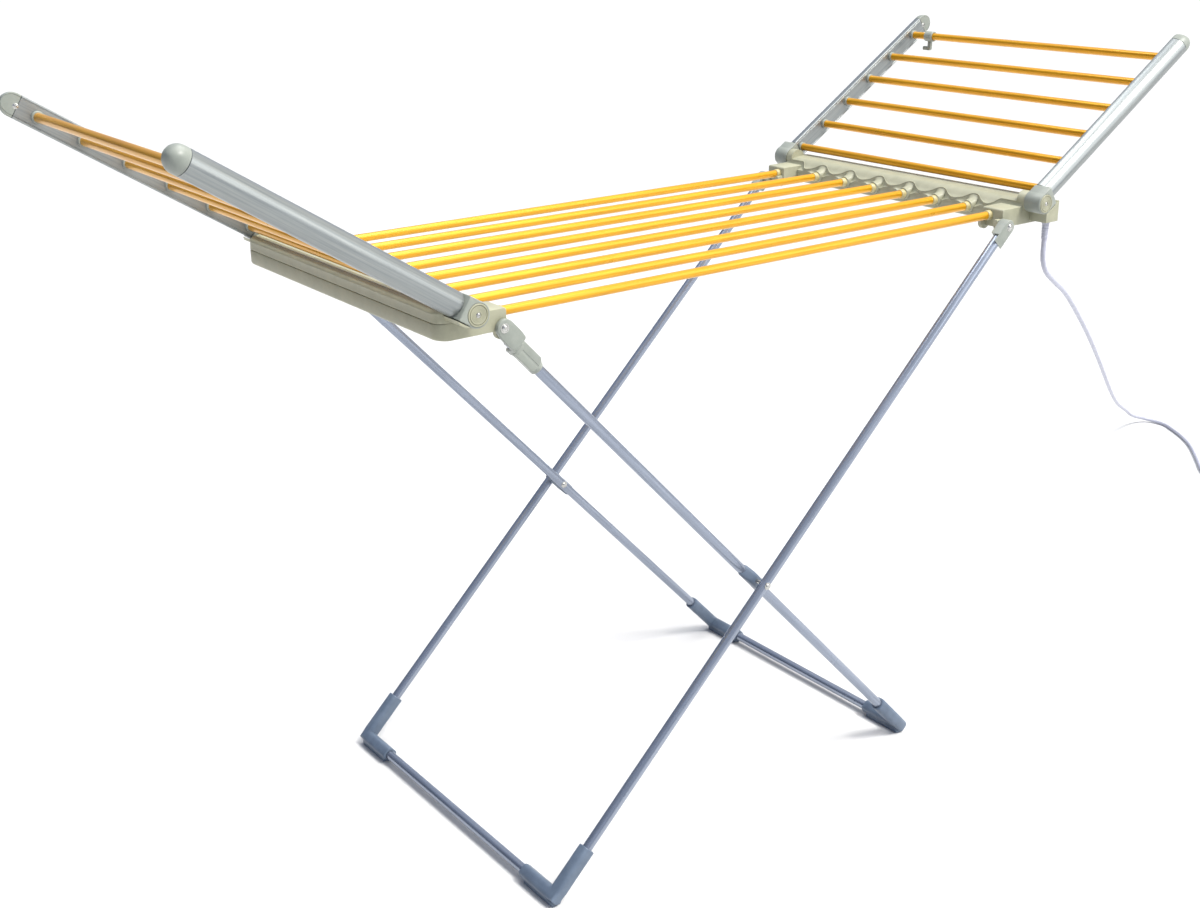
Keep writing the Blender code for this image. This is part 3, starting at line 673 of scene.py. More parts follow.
def make_wing_bars(side, body):
    collars = Shell()
    for number in range(1, 7):
        name = f"{side}_wing_bar_{number}"
        low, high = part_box(name)
        middle = centre(name)
        bar = Shell()
        bar.pipe((middle.x, low.y, middle.z), (middle.x, high.y, middle.z), BAR_RADIUS, 0.0008)
        put(bar, f"heated_{name}", body, GOLD_Y, [name])
        for end in (-1, 1):
            place = Vector((middle.x, end * (RAIL_FACE_Y + 0.0006), middle.z))
            collar(collars, place, -Y * end, 0.0073, 0.0040)
    put(collars, f"{side}_wing_bar_collars", body, WING_PLASTIC)


# ---------------------------------------------------------------- rails


def rail_section():
    """Half-open D section as distance out from the flat face and height."""
    half = RAIL_HALF
    upper = [
        (0.0, 0.0106),
        (0.0005, 0.0110),
        (0.0005, 0.0117),
        (0.0, 0.0121),
        (0.0, half - 0.0012),
        (0.0003, half - 0.0004),
        (0.0012, half),
        (0.0040, half),
    ]
    depth = RAIL_DEPTH - 0.0040
    crown = [
        (0.0040 + depth * math.sin(t), half * math.cos(t))
        for t in (math.pi * k / 36 for k in range(1, 36))
    ]
    lower = [(out, -height) for out, height in reversed(upper)]
    return upper + crown + lower


def wing_frame(hinge, out, side):
    """Turns distances along, up and out of a rail into a point."""
    up = Vector((-out.z, 0, out.x)) if out.x > 0 else Vector((out.z, 0, -out.x))

    def place(u, v, w):
        return Vector((hinge.x, 0, hinge.z)) + out * u + up * v + Y * side * w

    return place


def make_rail(label, body, place):
    section = anticlockwise(rail_section())
    lip = 0.0003
    wall = 0.0016
    rings = []
    for u, shrink in (
        (RAIL_ROOT, lip),
        (RAIL_ROOT + lip, 0),
        (RAIL_END - lip, 0),
        (RAIL_END, lip),
        (RAIL_END, wall),
        (RAIL_ROOT, wall),
    ):
        rings.append([place(u, v, RAIL_FACE_Y + w) for w, v in inset(section, shrink)])
    shell = Shell()
    shell.loft(rings, looped=True)
    put(shell, f"{label}_profile", body, SILVERS[body], [label], sharp=28)


def make_tip_cap(label, body, place):
    """A domed cap over the rail's end, with a screw in its flat side."""
    section = anticlockwise(rail_section())
    start = RAIL_END + GAP
    straight = WING_REACH - 0.001 - start
    rings = [[place(start, v, RAIL_FACE_Y + w) for w, v in inset(section, 0.0005)]]
    for u in (start + 0.0005, start + straight * 0.5):
        rings.append([place(u, v, RAIL_FACE_Y + w) for w, v in section])
    for k in range(19):
        t = math.pi / 2 * k / 18
        tall = max(0.02, math.cos(t))
        deep = 0.30 + 0.70 * math.cos(t * 0.96) ** 0.8
        u = start + straight + RAIL_HALF * math.sin(t)
        rings.append([place(u, v * tall, RAIL_FACE_Y + w * deep) for w, v in section])
    shell = Shell()
    shell.loft(rings)
    put(shell, f"{label}_moulding", body, WING_PLASTIC, [label], sharp=40)
    screw = Shell()
    spot = place(WING_REACH - 0.004, 0, RAIL_FACE_Y + 0.0003)
    inward = place(0, 0, 0) - place(0, 0, 1)
    screw.turned([(0, 0), (0.0034, 0), (0.0034, 0.0004), (0.0029, 0.0006), (0, 0.0006)], spot, inward, 32)
    screw.screw_head(spot + inward.normalized() * 0.0004, inward, 0.0026, 0.0012, 0.5, cross=True)
    put(screw, f"{label}_screw", body, STEEL)


def make_knuckle(label, body, place, pin_node):
    """The hinge moulding at a rail's root, with its pin, rings and screw."""
    steps = 120
    drum = 0.0145
    neck = RAIL_ROOT - GAP
    tall = 0.014
    inner_w = 0.2343
    outer_w = 0.2605

    def outline(shrink):
        ring = []
        for k in range(steps):
            t = 2 * math.pi * k / steps
            c = math.cos(t)
            s = math.sin(t)
            reach = drum
            if c > 0:
                straight = min(neck / c, tall / max(abs(s), 0.001))
                reach = max(reach, min(straight, (drum + neck) * 0.72))
            reach -= shrink
            ring.append((reach * c, reach * s))
        return ring

    rings = []
    for shrink, w in (
        (0.0010, inner_w),
        (0.0003, inner_w + 0.0003),
        (0.0, inner_w + 0.0010),
        (0.0, outer_w - 0.0014),
        (0.0004, outer_w - 0.0005),
        (0.0012, outer_w),
    ):
        rings.append([place(u, v, w) for u, v in outline(shrink)])
    for radius, w in ((0.0128, outer_w), (0.0126, outer_w - 0.0002), (0.0126, outer_w - 0.0014)):
        ring = []
        for k in range(steps):
            t = 2 * math.pi * k / steps
            ring.append(place(radius * math.cos(t), radius * math.sin(t), w))
        rings.append(ring)
    shell = Shell()
    shell.loft(rings)
    put(shell, f"{label}_moulding", body, WING_PLASTIC, [label], sharp=32)

    outward = (place(0, 0, 1) - place(0, 0, 0)).normalized()
    base = place(0, 0, 0)
    top = 0.2612
    disc = [(0, 0.2240), (0.0050, 0.2240), (0.0050, 0.2595), (0.0123, 0.2595), (0.0123, top - 0.0005)]
    disc += [(0.0119, top), (0.0108, top), (0.0105, top - 0.0010), (0.0099, top - 0.0010), (0.0096, top)]
    for radius, deep in ((0.0080, 0.0003), (0.0064, 0.0003), (0.0049, 0.0003)):
        disc += [
            (radius + 0.0004, top),
            (radius + 0.0002, top - deep),
            (radius - 0.0002, top - deep),
            (radius - 0.0004, top),
        ]
    disc += [(0.0034, top), (0.0032, top - 0.0007), (0, top - 0.0007)]
    pin = Shell()
    pin.turned(disc, base, outward, 72)
    put(pin, f"{pin_node}_disc", "deck", HOUSING, [pin_node], sharp=30)
    screw = Shell()
    screw.screw_head(base + outward * (top - 0.0008), outward, 0.0027, 0.0014, 0.9)
    put(screw, f"{pin_node}_screw", "deck", STEEL)


def make_wing(side, body, hinge, out):
    make_wing_bars(side, body)
    for edge, sign in EDGES:
        place = wing_frame(hinge, out, sign)
        make_rail(f"{side}_wing_rail_{edge}", body, place)
        make_tip_cap(f"{side}_wing_tip_cap_{edge}", body, place)
        make_knuckle(f"{side}_wing_knuckle_{edge}", body, place, f"{side}_hinge_pin_{edge}")


def make_catch():
    """The swivelling hook on the right wing's last bar."""
    place = joint_place("catch_swivel")
    low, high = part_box("wing_catch")
    middle_y = low.y + 0.008
    shell = Shell()
    ring = [
        (BAR_RADIUS + 0.0004, -0.0080),
        (0.0072, -0.0080),
        (0.0080, -0.0072),
        (0.0080, 0.0072),
        (0.0072, 0.0080),
        (BAR_RADIUS + 0.0004, 0.0080),
    ]
    shell.turned(ring, (place.x, middle_y, place.z), Y, 48, looped=True)
    hook = [
        (-0.003, -0.0066),
        (0.003, -0.0066),
        (0.003, -0.0160),
        (0.0125, -0.0160),
        (0.0132, -0.0175),
        (0.0132, -0.0205),
        (0.0120, -0.0220),
        (-0.001, -0.0220),
        (-0.003, -0.0200),
    ]

    def side_on(u, v, w):
        return Vector((place.x + w, middle_y + u, place.z + v))

    shell.slab(hook, side_on, -0.0025, 0.0025, 0.0006)
    put(shell, "catch_hook", "catch", WING_PLASTIC, ["wing_catch"])


# ---------------------------------------------------------------- housings

SPLIT_Z = 0.7595
BOTTOM_Z = 0.741
OUTER_X = 0.483
INNER_X = 0.4262
LIP_X = 0.4376
HALF_WIDTH = 0.232
SKIN_HALF_WIDTH = 0.2318
CORNER = 0.0145
BLOCK_Y = 0.197
BOSS = 0.0085
STOP_REACH = 0.0151
OUTLET_SIDES_X = (0.4545, 0.4795)
LEFT_SPIGOT_X = 0.405


def bar_offset(y):
    """Distance in Y from the nearest deck bar that has its own socket."""
    return min((y - bar for bar in BAR_YS[1:-1]), key=abs)


def arch(y):
    """1 where the cover's edge is drawn back over a socket, 0 between them."""
    if abs(y) > BAR_YS[-2] + BAR_PITCH / 2:
        return ease((abs(y) - BAR_YS[-2] - BAR_PITCH / 2) / 0.017)
    return 0.5 + 0.5 * math.cos(2 * math.pi * bar_offset(y) / BAR_PITCH)


COVER_CURVE = smooth(
    [
        (0.4262, 0.7628),
        (0.4318, 0.7655),
        (0.4368, 0.7702),
        (0.4430, 0.7737),
        (0.4520, 0.7747),
        (0.4660, 0.7749),
    ],
    10,
)


def cover_height(x):
    """Height of the cover's top at a place along X."""
    if x <= COVER_CURVE[0].x:
        return COVER_CURVE[0].y
    for a, b in zip(COVER_CURVE, COVER_CURVE[1:]):
        if a.x <= x <= b.x:
            return a.y + (b.y - a.y) * (x - a.x) / max(b.x - a.x, 0.000001)
    return COVER_CURVE[-1].y


def stations():
    """Places along Y, closer together round the sockets and at the ends."""
    marks = {-SKIN_HALF_WIDTH, SKIN_HALF_WIDTH}
    for bar in BAR_YS[1:-1]:
        for k in range(-8, 9):
            marks.add(bar + BOSS * math.sin(math.pi / 2 * k / 8))
        for k in range(1, 9):
            for sign in (-1, 1):
                marks.add(bar + sign * (BOSS + (BAR_PITCH / 2 - BOSS) * k / 8))
    for sign in (-1, 1):
        for k in range(1, 13):
            marks.add(sign * (BAR_YS[-2] + BAR_PITCH / 2 + 0.020 * k / 12))
        for k in range(0, 11):
            marks.add(sign * (SKIN_HALF_WIDTH - CORNER * (1 - math.sin(math.pi / 2 * k / 10))))
    places = sorted(round(m, 6) for m in marks)
    kept = [places[0]]
    for place in places[1:]:
        if place - kept[-1] > 0.00005:
            kept.append(place)
    return kept


def plan_limit(y):
    """How far out the housing reaches at a place along Y."""
    past = abs(y) - (SKIN_HALF_WIDTH - CORNER)
    if past <= 0:
        return OUTER_X
    return OUTER_X - CORNER + math.sqrt(max(0, CORNER**2 - past**2))


def squeezed(x, y):
    """Fit the outer part of a section inside the rounded corner."""
    root = 0.462
    if x <= root:
        return x
    return root + (x - root) * (plan_limit(y) - root) / (OUTER_X - root)


def cover_section(y):
    edge = INNER_X + (LIP_X - INNER_X) * arch(y)
    edge_z = cover_height(edge)
    points = [(edge + 0.0006, SPLIT_Z + GAP), (edge, edge_z - 0.0008), (edge - 0.0001, edge_z + 0.0002)]
    points += [(edge + 0.0004, edge_z + 0.0009), (edge + 0.0010, edge_z + 0.0009)]
    points.append((edge + 0.0016, cover_height(edge + 0.0016)))
    for k in range(1, 15):
        x = edge + 0.0016 + (0.4660 - edge - 0.0016) * k / 14
        points.append((x, cover_height(x)))
    points += [
        (0.4680, 0.7749),
        (0.4684, 0.7744),
        (0.4692, 0.7744),
        (0.4696, 0.7748),
        (0.4730, 0.7746),
        (0.4734, 0.7741),
        (0.4742, 0.7741),
        (0.4746, 0.7745),
        (0.4778, 0.7744),
        (0.4796, 0.7740),
        (0.4810, 0.7733),
        (0.4821, 0.7723),
        (0.4828, 0.7711),
        (0.4830, 0.7698),
        (0.4826, 0.7693),
        (0.4824, 0.7688),
        (0.4826, 0.7640),
        (0.4828, SPLIT_Z + GAP + 0.0006),
        (0.4822, SPLIT_Z + GAP),
    ]
    return [(squeezed(x, y), z) for x, z in points]


def tray_section(y):
    edge = INNER_X + (LIP_X - INNER_X) * arch(y)
    edge_z = cover_height(edge) - 0.0006
    offset = abs(bar_offset(y)) if abs(y) < BAR_YS[-2] + BAR_PITCH / 2 else 1
    if offset < BOSS:
        rise = math.sqrt(BOSS**2 - offset**2)
        wall = 0.4215 + 0.0035 * (offset / BOSS) ** 6
    else:
        rise = 0
        wall = INNER_X - 0.0002
    blend = ease((offset - BOSS) / 0.012)
    shoulder = BAR_Z + rise if offset < BOSS else BAR_Z + 0.0040 * blend
    if abs(y) > BAR_YS[-2] + BAR_PITCH / 2:
        shoulder = SPLIT_Z
    points = [
        (edge + 0.0010, min(edge_z, SPLIT_Z + 0.012)),
        (edge - 0.0002, edge_z - 0.0004),
    ]
    start = Vector((wall, shoulder))
    goal = Vector((edge - 0.0002, edge_z - 0.0004))
    for k in range(1, 9):
        t = k / 9
        bend = Vector((wall + (edge - wall) * 0.75, shoulder + (edge_z - shoulder) * 0.15))
        points.append(tuple(goal * (1 - t) ** 2 + bend * 2 * t * (1 - t) + start * t**2))
    points += [
        (wall + 0.0004, shoulder),
        (wall, shoulder - min(0.0005, rise * 0.5 + 0.0002)),
        (wall, BAR_Z - rise + min(0.0005, rise * 0.5)),
        (wall + 0.0005, BAR_Z - rise),
        (INNER_X, BAR_Z - rise - 0.0002),
        (INNER_X, BOTTOM_Z + 0.0034),
        (INNER_X + 0.0006, BOTTOM_Z + 0.0015),
        (INNER_X + 0.0018, BOTTOM_Z + 0.0004),
        (INNER_X + 0.0034, BOTTOM_Z),
        (0.4520, BOTTOM_Z),
        (OUTER_X - 0.0040, BOTTOM_Z),
        (OUTER_X - 0.0021, BOTTOM_Z + 0.0005),
        (OUTER_X - 0.0007, BOTTOM_Z + 0.0018),
        (OUTER_X, BOTTOM_Z + 0.0040),
        (OUTER_X, SPLIT_Z - 0.0010),
        (OUTER_X - 0.0004, SPLIT_Z - 0.0003),
        (OUTER_X - 0.0012, SPLIT_Z),
        (0.4560, SPLIT_Z),
        (edge + 0.0010, SPLIT_Z),
    ]
    return [(squeezed(x, y), z) for x, z in points]


def housing_skin(section, end):
    """A housing shell: its section at each station, with rounded ends."""
    shell = Shell()
    shell.loft([[Vector((end * x, y, z)) for x, z in section(y)] for y in stations()])
    return shell


def corner_blocks(shell, end):
    """The solid corners that the end bars go into, and the leg lugs."""
    top = 0.7655
    pivot = LEG_PIVOT.x if end > 0 else LEFT_SPIGOT_X

    def place(u, v, w):
        return Vector((end * u, w, v))

    body = [
        (0.398, BOTTOM_Z),
        (0.4580, BOTTOM_Z),
        (0.4580, top),
        *arc((0.4010, top - 0.003), 0.003, 90, 180, 5),
    ]
    lug = [
        (pivot - 0.0085, LEG_PIVOT.z + 0.008),
        *arc((pivot, LEG_PIVOT.z), 0.0085, 180, 360, 20),
        (pivot + 0.0085, LEG_PIVOT.z + 0.008),
    ]
    tab = [
        (0.3982, BOTTOM_Z + 0.004),
        (0.3982, BOTTOM_Z - 0.0030),
        *arc((0.4050, BOTTOM_Z - 0.0030), 0.0068, 180, 360, 12),
        (0.4118, BOTTOM_Z + 0.004),
    ]
    hinge = Vector((end * HINGE.x, 0, HINGE.z))
    flange = [
        (0, 0.2215),
        (0.0135, 0.2215),
        (0.0135, 0.2332),
        (0.0132, 0.2337),
        (0.0126, 0.2338),
        (0, 0.2338),
    ]
    for side in (-1, 1):
        shell.slab(body, place, side * BLOCK_Y, side * HALF_WIDTH, 0.0009)
        shell.slab(tab, place, side * 0.2250, side * 0.2315, 0.0008)
        shell.slab(lug, place, side * 0.2255, side * 0.2317, 0.0008)
        shell.slab(lug, place, side * 0.199, side * 0.205, 0.0008)
        shell.turned(flange, hinge, Y * side, 56)


def under_wing(distance):
    """A place on the underside of the raised wing, as X and Z."""
    return (
        HINGE.x + distance * WING_OUT.x + STOP_REACH * WING_OUT.z,
        HINGE.z + distance * WING_OUT.z - STOP_REACH * WING_OUT.x,
    )


def wing_stops(shell, end):
    """The lugs that the raised wings lean on, and the cord's outlet."""
    bottom = SPLIT_Z + GAP
    inner_x, outer_x = OUTLET_SIDES_X
    start_x, start_z = under_wing(0.0)

    def place(u, v, w):
        return Vector((end * u, w, v))

    for side in (-1, 1):
        if (end, side) == (1, -1):
            outline = [
                (outer_x, OUTLET_BOTTOM_Z),
                under_wing((outer_x - start_x) / WING_OUT.x),
                (start_x, start_z),
                *arc((HINGE.x, HINGE.z), STOP_REACH, -58, -75, 5),
                (inner_x, 0.7565),
                (inner_x, OUTLET_BOTTOM_Z),
            ]
        else:
            outline = [
                (HINGE.x + 0.0140, bottom),
                (HINGE.x + 0.0222, HINGE.z - 0.0074),
                under_wing(RAIL_ROOT),
                under_wing((bottom - start_z) / WING_OUT.z),
            ]
        shell.slab(outline, place, side * 0.224, side * 0.2600, 0.0007)


def make_housing(side, end):
    cover = housing_skin(cover_section, end)
    wing_stops(cover, end)
    put(cover, f"{side}_cover", "deck", HOUSING, [f"{side}_housing_cover"], sharp=32)
    tray = housing_skin(tray_section, end)
    corner_blocks(tray, end)
    put(tray, f"{side}_tray", "deck", HOUSING, [f"{side}_housing_tray"], sharp=32)


# ---------------------------------------------------------------- legs


def leg_line(frame_name):
    """Top and foot of a leg frame's line, in the plane of X and Z."""
    foot = centre(f"legs_{frame_name}_foot_tube")
    foot.y = 0
    cross = Vector((CROSSING.x, 0, CROSSING.z))
    up = (cross - foot).normalized()
    top = foot + up * (LEG_PIVOT.z - foot.z) / up.z
    return top, foot


def make_leg_tubes(name, body, paint, top, foot):
    along = (foot - top).normalized()
    start = 0.0195 if name == "b" else 0.0315
    for edge, side in EDGES:
        node = f"legs_{name}_tube_{edge}"
        y = centre(node).y
        shell = Shell()
        first = top + along * start
        last = foot - along * 0.0135
        first.y = y
        last.y = y
        shell.pipe(first, last, LEG_RADIUS, LEG_WALL, 48)
        put(shell, f"{node}_pipe", body, paint, [node])
    node = f"legs_{name}_foot_tube"
    low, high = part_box(node)
    shell = Shell()
    shell.pipe((foot.x, low.y, foot.z), (foot.x, high.y, foot.z), LEG_RADIUS, LEG_WALL, 48)
    put(shell, f"{node}_pipe", body, LEG_Y, [node])


def make_elbow(name, edge, side, body, top, foot):
    """A mitred corner socket for two tubes, with a flat sole under it."""
    node = f"legs_{name}_elbow_{edge}"
    y = centre(f"legs_{name}_tube_{edge}").y
    up = (top - foot).normalized()
    inward = Y * -side
    level = up.cross(inward).normalized()
    corner = Vector((foot.x, y, foot.z))
    half = 0.0093
    bore = LEG_RADIUS + 0.0003
    squareness = 3.2

    def ring(along, outward, distance, reach, power=squareness):
        return superellipse(corner + along * distance, level, outward, reach, reach, power)

    def arm(along, outward, length):
        """Rings from the bore's bottom, over the mouth and back to the corner."""
        return [
            ring(along, outward, length - 0.0120, bore, 2.0),
            ring(along, outward, length, bore, 2.0),
            ring(along, outward, length, half - 0.0010),
            ring(along, outward, length - 0.0004, half - 0.0003),
            ring(along, outward, length - 0.0012, half),
            ring(along, outward, half + 0.0040, half),
            ring(along, outward, half + 0.0010, half),
        ]

    outer_corner = -(inward + up)
    mitre = superellipse(corner, level, outer_corner, half, half * 0.80, squareness, low=half)
    upright_arm = arm(up, -inward, ELBOW_UPRIGHT)
    level_arm = arm(inward, -up, ELBOW_LEVEL)
    shell = Shell()
    shell.loft(upright_arm + [mitre] + level_arm[::-1])
    sole_half = 0.0075
    sole_end = ELBOW_LEVEL - 0.0060
    sole = [
        (-sole_half, -0.0040),
        (sole_half, -0.0040),
        (sole_half, sole_end),
        (-sole_half, sole_end),
    ]

    def under(u, v, w):
        return Vector((foot.x + u, y, w)) + inward * v

    shell.slab(smoothed_corners(sole, 0.0030), under, 0.0, 0.0070, 0.0008)
    put(shell, f"{node}_socket", body, FOOT_PLASTIC, [node], sharp=38)


def stadium(top, along, start, finish, half, steps=20):
    """An outline in X and Z round the leg's line, square at its lower end."""
    across = Vector((-along.z, 0, along.x))
    heading = math.degrees(math.atan2(along.z, along.x))
    middle = top + along * start
    ring = arc((middle.x, middle.z), half, heading + 90, heading + 270, steps)
    end = top + along * finish
    for sign in (-1, 1):
        corner = end + across * half * sign
        ring.append((corner.x, corner.z))
    return ring


def rivet(shell, place, axis, radius=0.0042, height=0.0020):
    """A flat collar with a domed head on it."""
    profile = [(0, -0.0006), (radius * 1.35, -0.0006), (radius * 1.35, 0.0003), (radius, 0.0005)]
    for k in range(1, 9):
        t = math.pi / 2 * k / 8
        profile.append((radius * math.cos(t), 0.0005 + height * math.sin(t)))
    shell.turned(profile, place, axis, 40)


def make_top_b(edge, side, body, top, foot):
    """A round ear beside the housing's lug, with a thin cheek outside it."""
    node = f"legs_b_top_{edge}"
    y = centre(f"legs_b_tube_{edge}").y
    along = (foot - top).normalized()
    inner = HALF_WIDTH + GAP
    thick = 2 * (abs(y) - inner) - 0.0003

    def place(u, v, w):
        return Vector((u, side * w, v))

    shell = Shell()
    shell.slab(stadium(top, along, 0, 0.019, 0.0095), place, inner, inner + thick, 0.0011)
    cheek = stadium(top, along, 0, 0.030, 0.0090)
    shell.slab(cheek, place, abs(y) + 0.0055, inner + thick + 0.0004, 0.0006)
    middle = Vector((top.x, y, top.z))
    shell.turned([(0, 0.012), (0.0052, 0.012), (0.0052, 0.045), (0, 0.045)], middle, along, 32)
    put(shell, f"{node}_ear", body, WING_PLASTIC, [node])
    head = Shell()
    rivet(head, (top.x, side * (inner + thick + 0.0004), top.z), Y * side)
    put(head, f"{node}_rivet", body, STEEL)


def make_top_a(edge, side, body, top, foot):
    """An ear with a slanting shoulder, and a long sleeve with a slot."""
    node = f"legs_a_top_{edge}"
    y = abs(centre(f"legs_a_tube_{edge}").y)
    along = (foot - top).normalized()
    across = Vector((-along.z, 0, along.x))
    inner = HALF_WIDTH + GAP
    outer = inner + 0.0062

    def place(u, v, w):
        return Vector((u, side * w, v))

    def spot(s, a, w):
        point = top + along * s + across * a
        return Vector((point.x, side * w, point.z))

    shell = Shell()
    ear = [
        (-0.0080, 0.0050),
        (-0.0050, 0.0092),
        (0.0010, 0.0112),
        (0.0200, 0.0112),
        (0.0300, 0.0098),
        (0.0300, -0.0098),
        (0.0200, -0.0112),
        (0.0040, -0.0105),
        (-0.0040, -0.0082),
        (-0.0085, -0.0030),
    ]
    shell.slab(smoothed_corners(ear, 0.003), spot, inner, outer, 0.0009)
    rings = []
    for s, half, low, high in (
        (0.0185, 0.0106, inner, outer - 0.0002),
        (0.0225, 0.0106, inner - 0.0005, outer - 0.0003),
        (0.0330, 0.0098, inner - 0.0070, outer - 0.0062),
        (0.0420, 0.0094, y - 0.0094, y + 0.0100),
        (0.0480, 0.0092, y - 0.0092, y + 0.0092),
    ):
        middle = spot(s, 0, (low + high) / 2)
        rings.append(superellipse(middle, across, Y * side, half, (high - low) / 2, 4))
    shell.loft(rings)
    middle = Vector((top.x, side * y, top.z))
    sleeve = [
        (LEG_RADIUS + 0.0003, 0.045),
        (0.0086, 0.045),
        (0.0086, 0.0832),
        (0.0082, 0.0840),
        (LEG_RADIUS + 0.0003, 0.0840),
    ]
    shell.turned(sleeve, middle, along, 48, looped=True)
    rail = [
        (0.0430, 0.0012),
        (0.0430, 0.0100),
        (0.0740, 0.0100),
        (0.0775, 0.0070),
        (0.0790, 0.0012),
    ]

    def strip(u, v, w):
        return middle + along * u + across * v + Y * side * w

    shell.slab(rail, strip, 0.0010, 0.0092, 0.0008)
    lower = [(0.0430, -0.0088), (0.0430, -0.0008), (0.0790, -0.0008), (0.0780, -0.0060), (0.0740, -0.0088)]
    shell.slab(lower, strip, 0.0010, 0.0088, 0.0008)
    put(shell, f"{node}_fitting", body, WING_PLASTIC, [node])
    head = Shell()
    rivet(head, (top.x, side * outer, top.z), Y * side, 0.0040, 0.0019)
    put(head, f"{node}_rivet", body, STEEL)


def make_crossing(edge, side):
    """A rivet through both tubes, with a moulded saddle between them."""
    node = f"crossing_rivet_{edge}"
    a_y = abs(centre(f"legs_a_tube_{edge}").y)
    b_y = abs(centre(f"legs_b_tube_{edge}").y)
    base = Vector((CROSSING.x, 0, CROSSING.z))
    head = Shell()
    outer = b_y + LEG_RADIUS
    inner = a_y - LEG_RADIUS
    rivet(head, base + Y * side * outer, Y * side, 0.0036, 0.0018)
    rivet(head, base + Y * side * inner, Y * -side, 0.0036, 0.0018)
    head.turned([(0, inner), (0.0024, inner), (0.0024, outer), (0, outer)], base, Y * side, 24)
    put(head, f"{node}_heads", "legs_b", STEEL, [node])
    top, foot = leg_line("a")
    along = (foot - top).normalized()
    across = Vector((-along.z, 0, along.x))
    saddle = Shell()
    rings = []
    for s, half, low, high in (
        (-0.0230, 0.0066, a_y - 0.0010, a_y + 0.0045),
        (-0.0200, 0.0078, a_y - 0.0020, a_y + 0.0068),
        (-0.0090, 0.0080, a_y - 0.0022, a_y + 0.0140),
        (0.0090, 0.0080, a_y - 0.0022, a_y + 0.0140),
        (0.0200, 0.0078, a_y - 0.0020, a_y + 0.0068),
        (0.0230, 0.0066, a_y - 0.0010, a_y + 0.0045),
    ):
        middle = base + along * s + Y * side * (low + high) / 2
        rings.append(superellipse(middle, across, Y * side, half, (high - low) / 2, 3.2))
    saddle.loft(rings)
    put(saddle, f"crossing_saddle_{edge}", "legs_a", FOOT_PLASTIC)


def make_legs():
    for name, body, paint in (("a", "legs_a", LEG_A), ("b", "legs_b", LEG_B)):
        top, foot = leg_line(name)
        make_leg_tubes(name, body, paint, top, foot)
        for edge, side in EDGES:
            make_elbow(name, edge, side, body, top, foot)
            if name == "a":
                make_top_a(edge, side, body, top, foot)
            else:
                make_top_b(edge, side, body, top, foot)
    for edge, side in EDGES:
        make_crossing(edge, side)


# ---------------------------------------------------------------- studio


def make_sky():
    """Light that is bright above and to the right, and dim from the left."""
    world = bpy.data.worlds.new("studio")
    bpy.context.scene.world = world
    world.use_nodes = True
    nodes = world.node_tree.nodes
    link = world.node_tree.links.new
    place = nodes.new("ShaderNodeTexCoord")
    side = nodes.new("ShaderNodeVectorMath")
    side.operation = "DOT_PRODUCT"
    side.inputs[1].default_value = (0.62, -0.30, 0.72)
    ramp = nodes.new("ShaderNodeValToRGB")
    stops = ramp.color_ramp.elements
    stops[0].position = 0.30
    stops[0].color = (0.05, 0.08, 0.15, 1)
    stops[1].position = 0.95
    stops[1].color = (1.0, 0.98, 0.95, 1)
    middle = stops.new(0.62)
    middle.color = (0.42, 0.48, 0.62, 1)
    spread = nodes.new("ShaderNodeMapRange")
    spread.inputs["From Min"].default_value = -1
    spread.inputs["From Max"].default_value = 1
    link(place.outputs["Generated"], side.inputs[0])
    link(side.outputs["Value"], spread.inputs["Value"])
    link(spread.outputs["Result"], ramp.inputs["Fac"])
    link(ramp.outputs["Color"], nodes["Background"].inputs["Color"])
    nodes["Background"].inputs["Strength"].default_value = 1.0


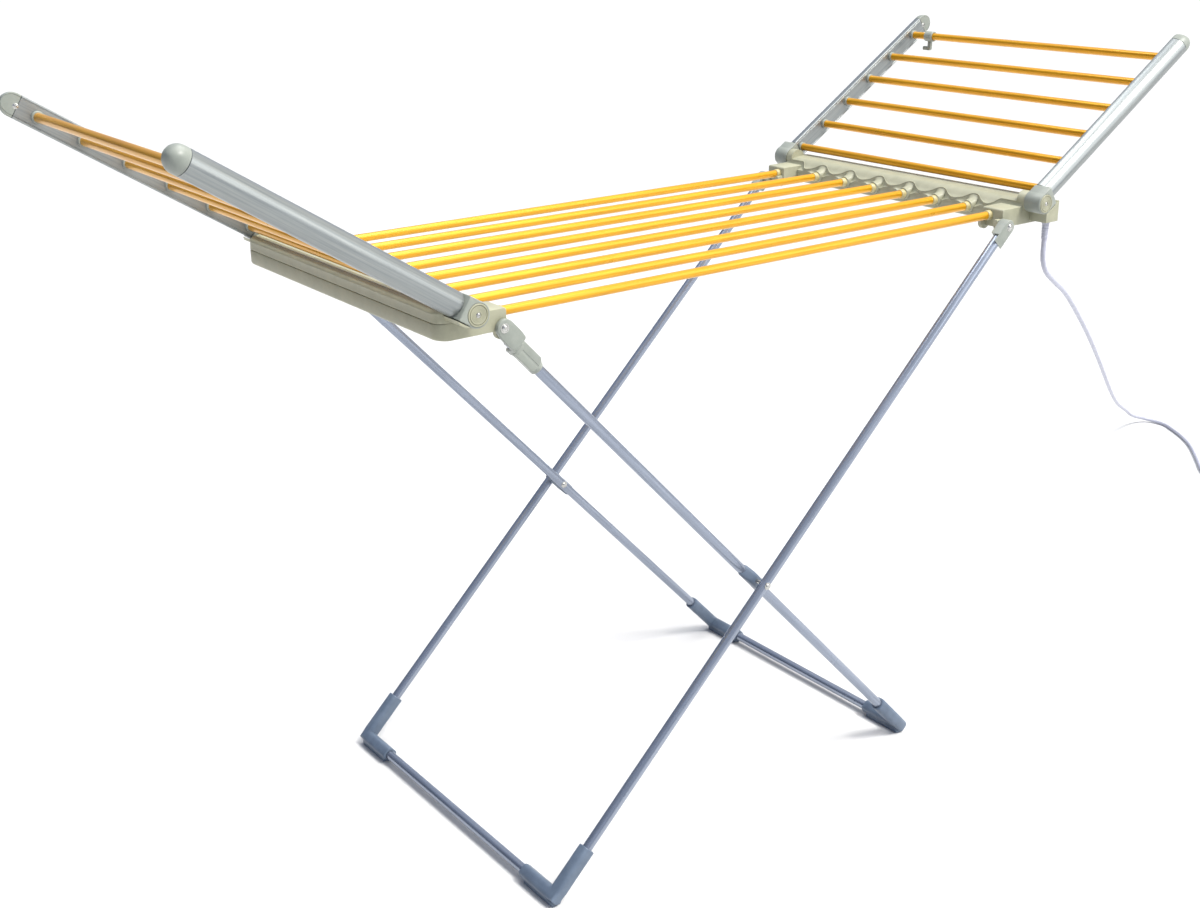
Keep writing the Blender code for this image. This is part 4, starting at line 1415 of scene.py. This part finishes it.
def make_studio():
    """A pale floor, the sky, a wide soft sun and two softboxes."""
    reach = 45
    corners = [(-reach, -reach, 0), (reach, -reach, 0), (reach, reach, 0), (-reach, reach, 0)]
    mesh = bpy.data.meshes.new("floor")
    mesh.from_pydata(corners, [], [(0, 1, 2, 3)])
    floor = add("floor", mesh)
    floor.location.z = -0.0004
    paper = bpy.data.materials.new("pale_floor")
    paper.use_nodes = True
    shader = paper.node_tree.nodes["Principled BSDF"]
    shader.inputs["Base Color"].default_value = (0.66, 0.66, 0.66, 1)
    shader.inputs["Roughness"].default_value = 0.9
    shader.inputs["Specular IOR Level"].default_value = 0.1
    mesh.materials.append(paper)

    make_sky()
    sun = bpy.data.lights.new("sun", "SUN")
    sun.energy = 3.6
    sun.angle = math.radians(20)
    sun.color = (1.0, 0.98, 0.94)
    lamp = add("sun", sun)
    lamp.rotation_euler = Vector((-0.25, 0.45, -0.85)).to_track_quat("-Z", "Y").to_euler()

    for name, place, size, power in (
        ("softbox_front", (1.5, -2.6, 2.0), 2.2, 30),
        ("softbox_top", (0.2, 0.4, 2.9), 1.4, 34),
    ):
        light = bpy.data.lights.new(name, "AREA")
        light.shape = "SQUARE"
        light.size = size
        light.energy = power
        lamp = add(name, light)
        lamp.location = place
        aim = Vector((0, 0, 0.7)) - Vector(place)
        lamp.rotation_euler = aim.to_track_quat("-Z", "Y").to_euler()
    bpy.context.scene.view_settings.view_transform = "Standard"


# ---------------------------------------------------------------- build

LEFT_OUT = Vector((-WING_OUT.x, 0, WING_OUT.z))
LEFT_HINGE = Vector((-HINGE.x, 0, HINGE.z))
SILVERS = {
    "left_wing": silver("silver_left_wing", LEFT_OUT),
    "right_wing": silver("silver_right_wing", WING_OUT),
}
TOP_A, FOOT_A = leg_line("a")
TOP_B, FOOT_B = leg_line("b")
LEG_A = leg_paint("leg_paint_a", (FOOT_A - TOP_A).normalized())
LEG_B = leg_paint("leg_paint_b", (FOOT_B - TOP_B).normalized())
LEG_Y = leg_paint("leg_paint_foot", Y)

make_camera()
make_cord()
make_relief()
make_deck_bars()
make_wing("right", "right_wing", HINGE, WING_OUT)
make_wing("left", "left_wing", LEFT_HINGE, LEFT_OUT)
make_catch()
make_housing("right", 1)
make_housing("left", -1)
make_legs()
make_studio()
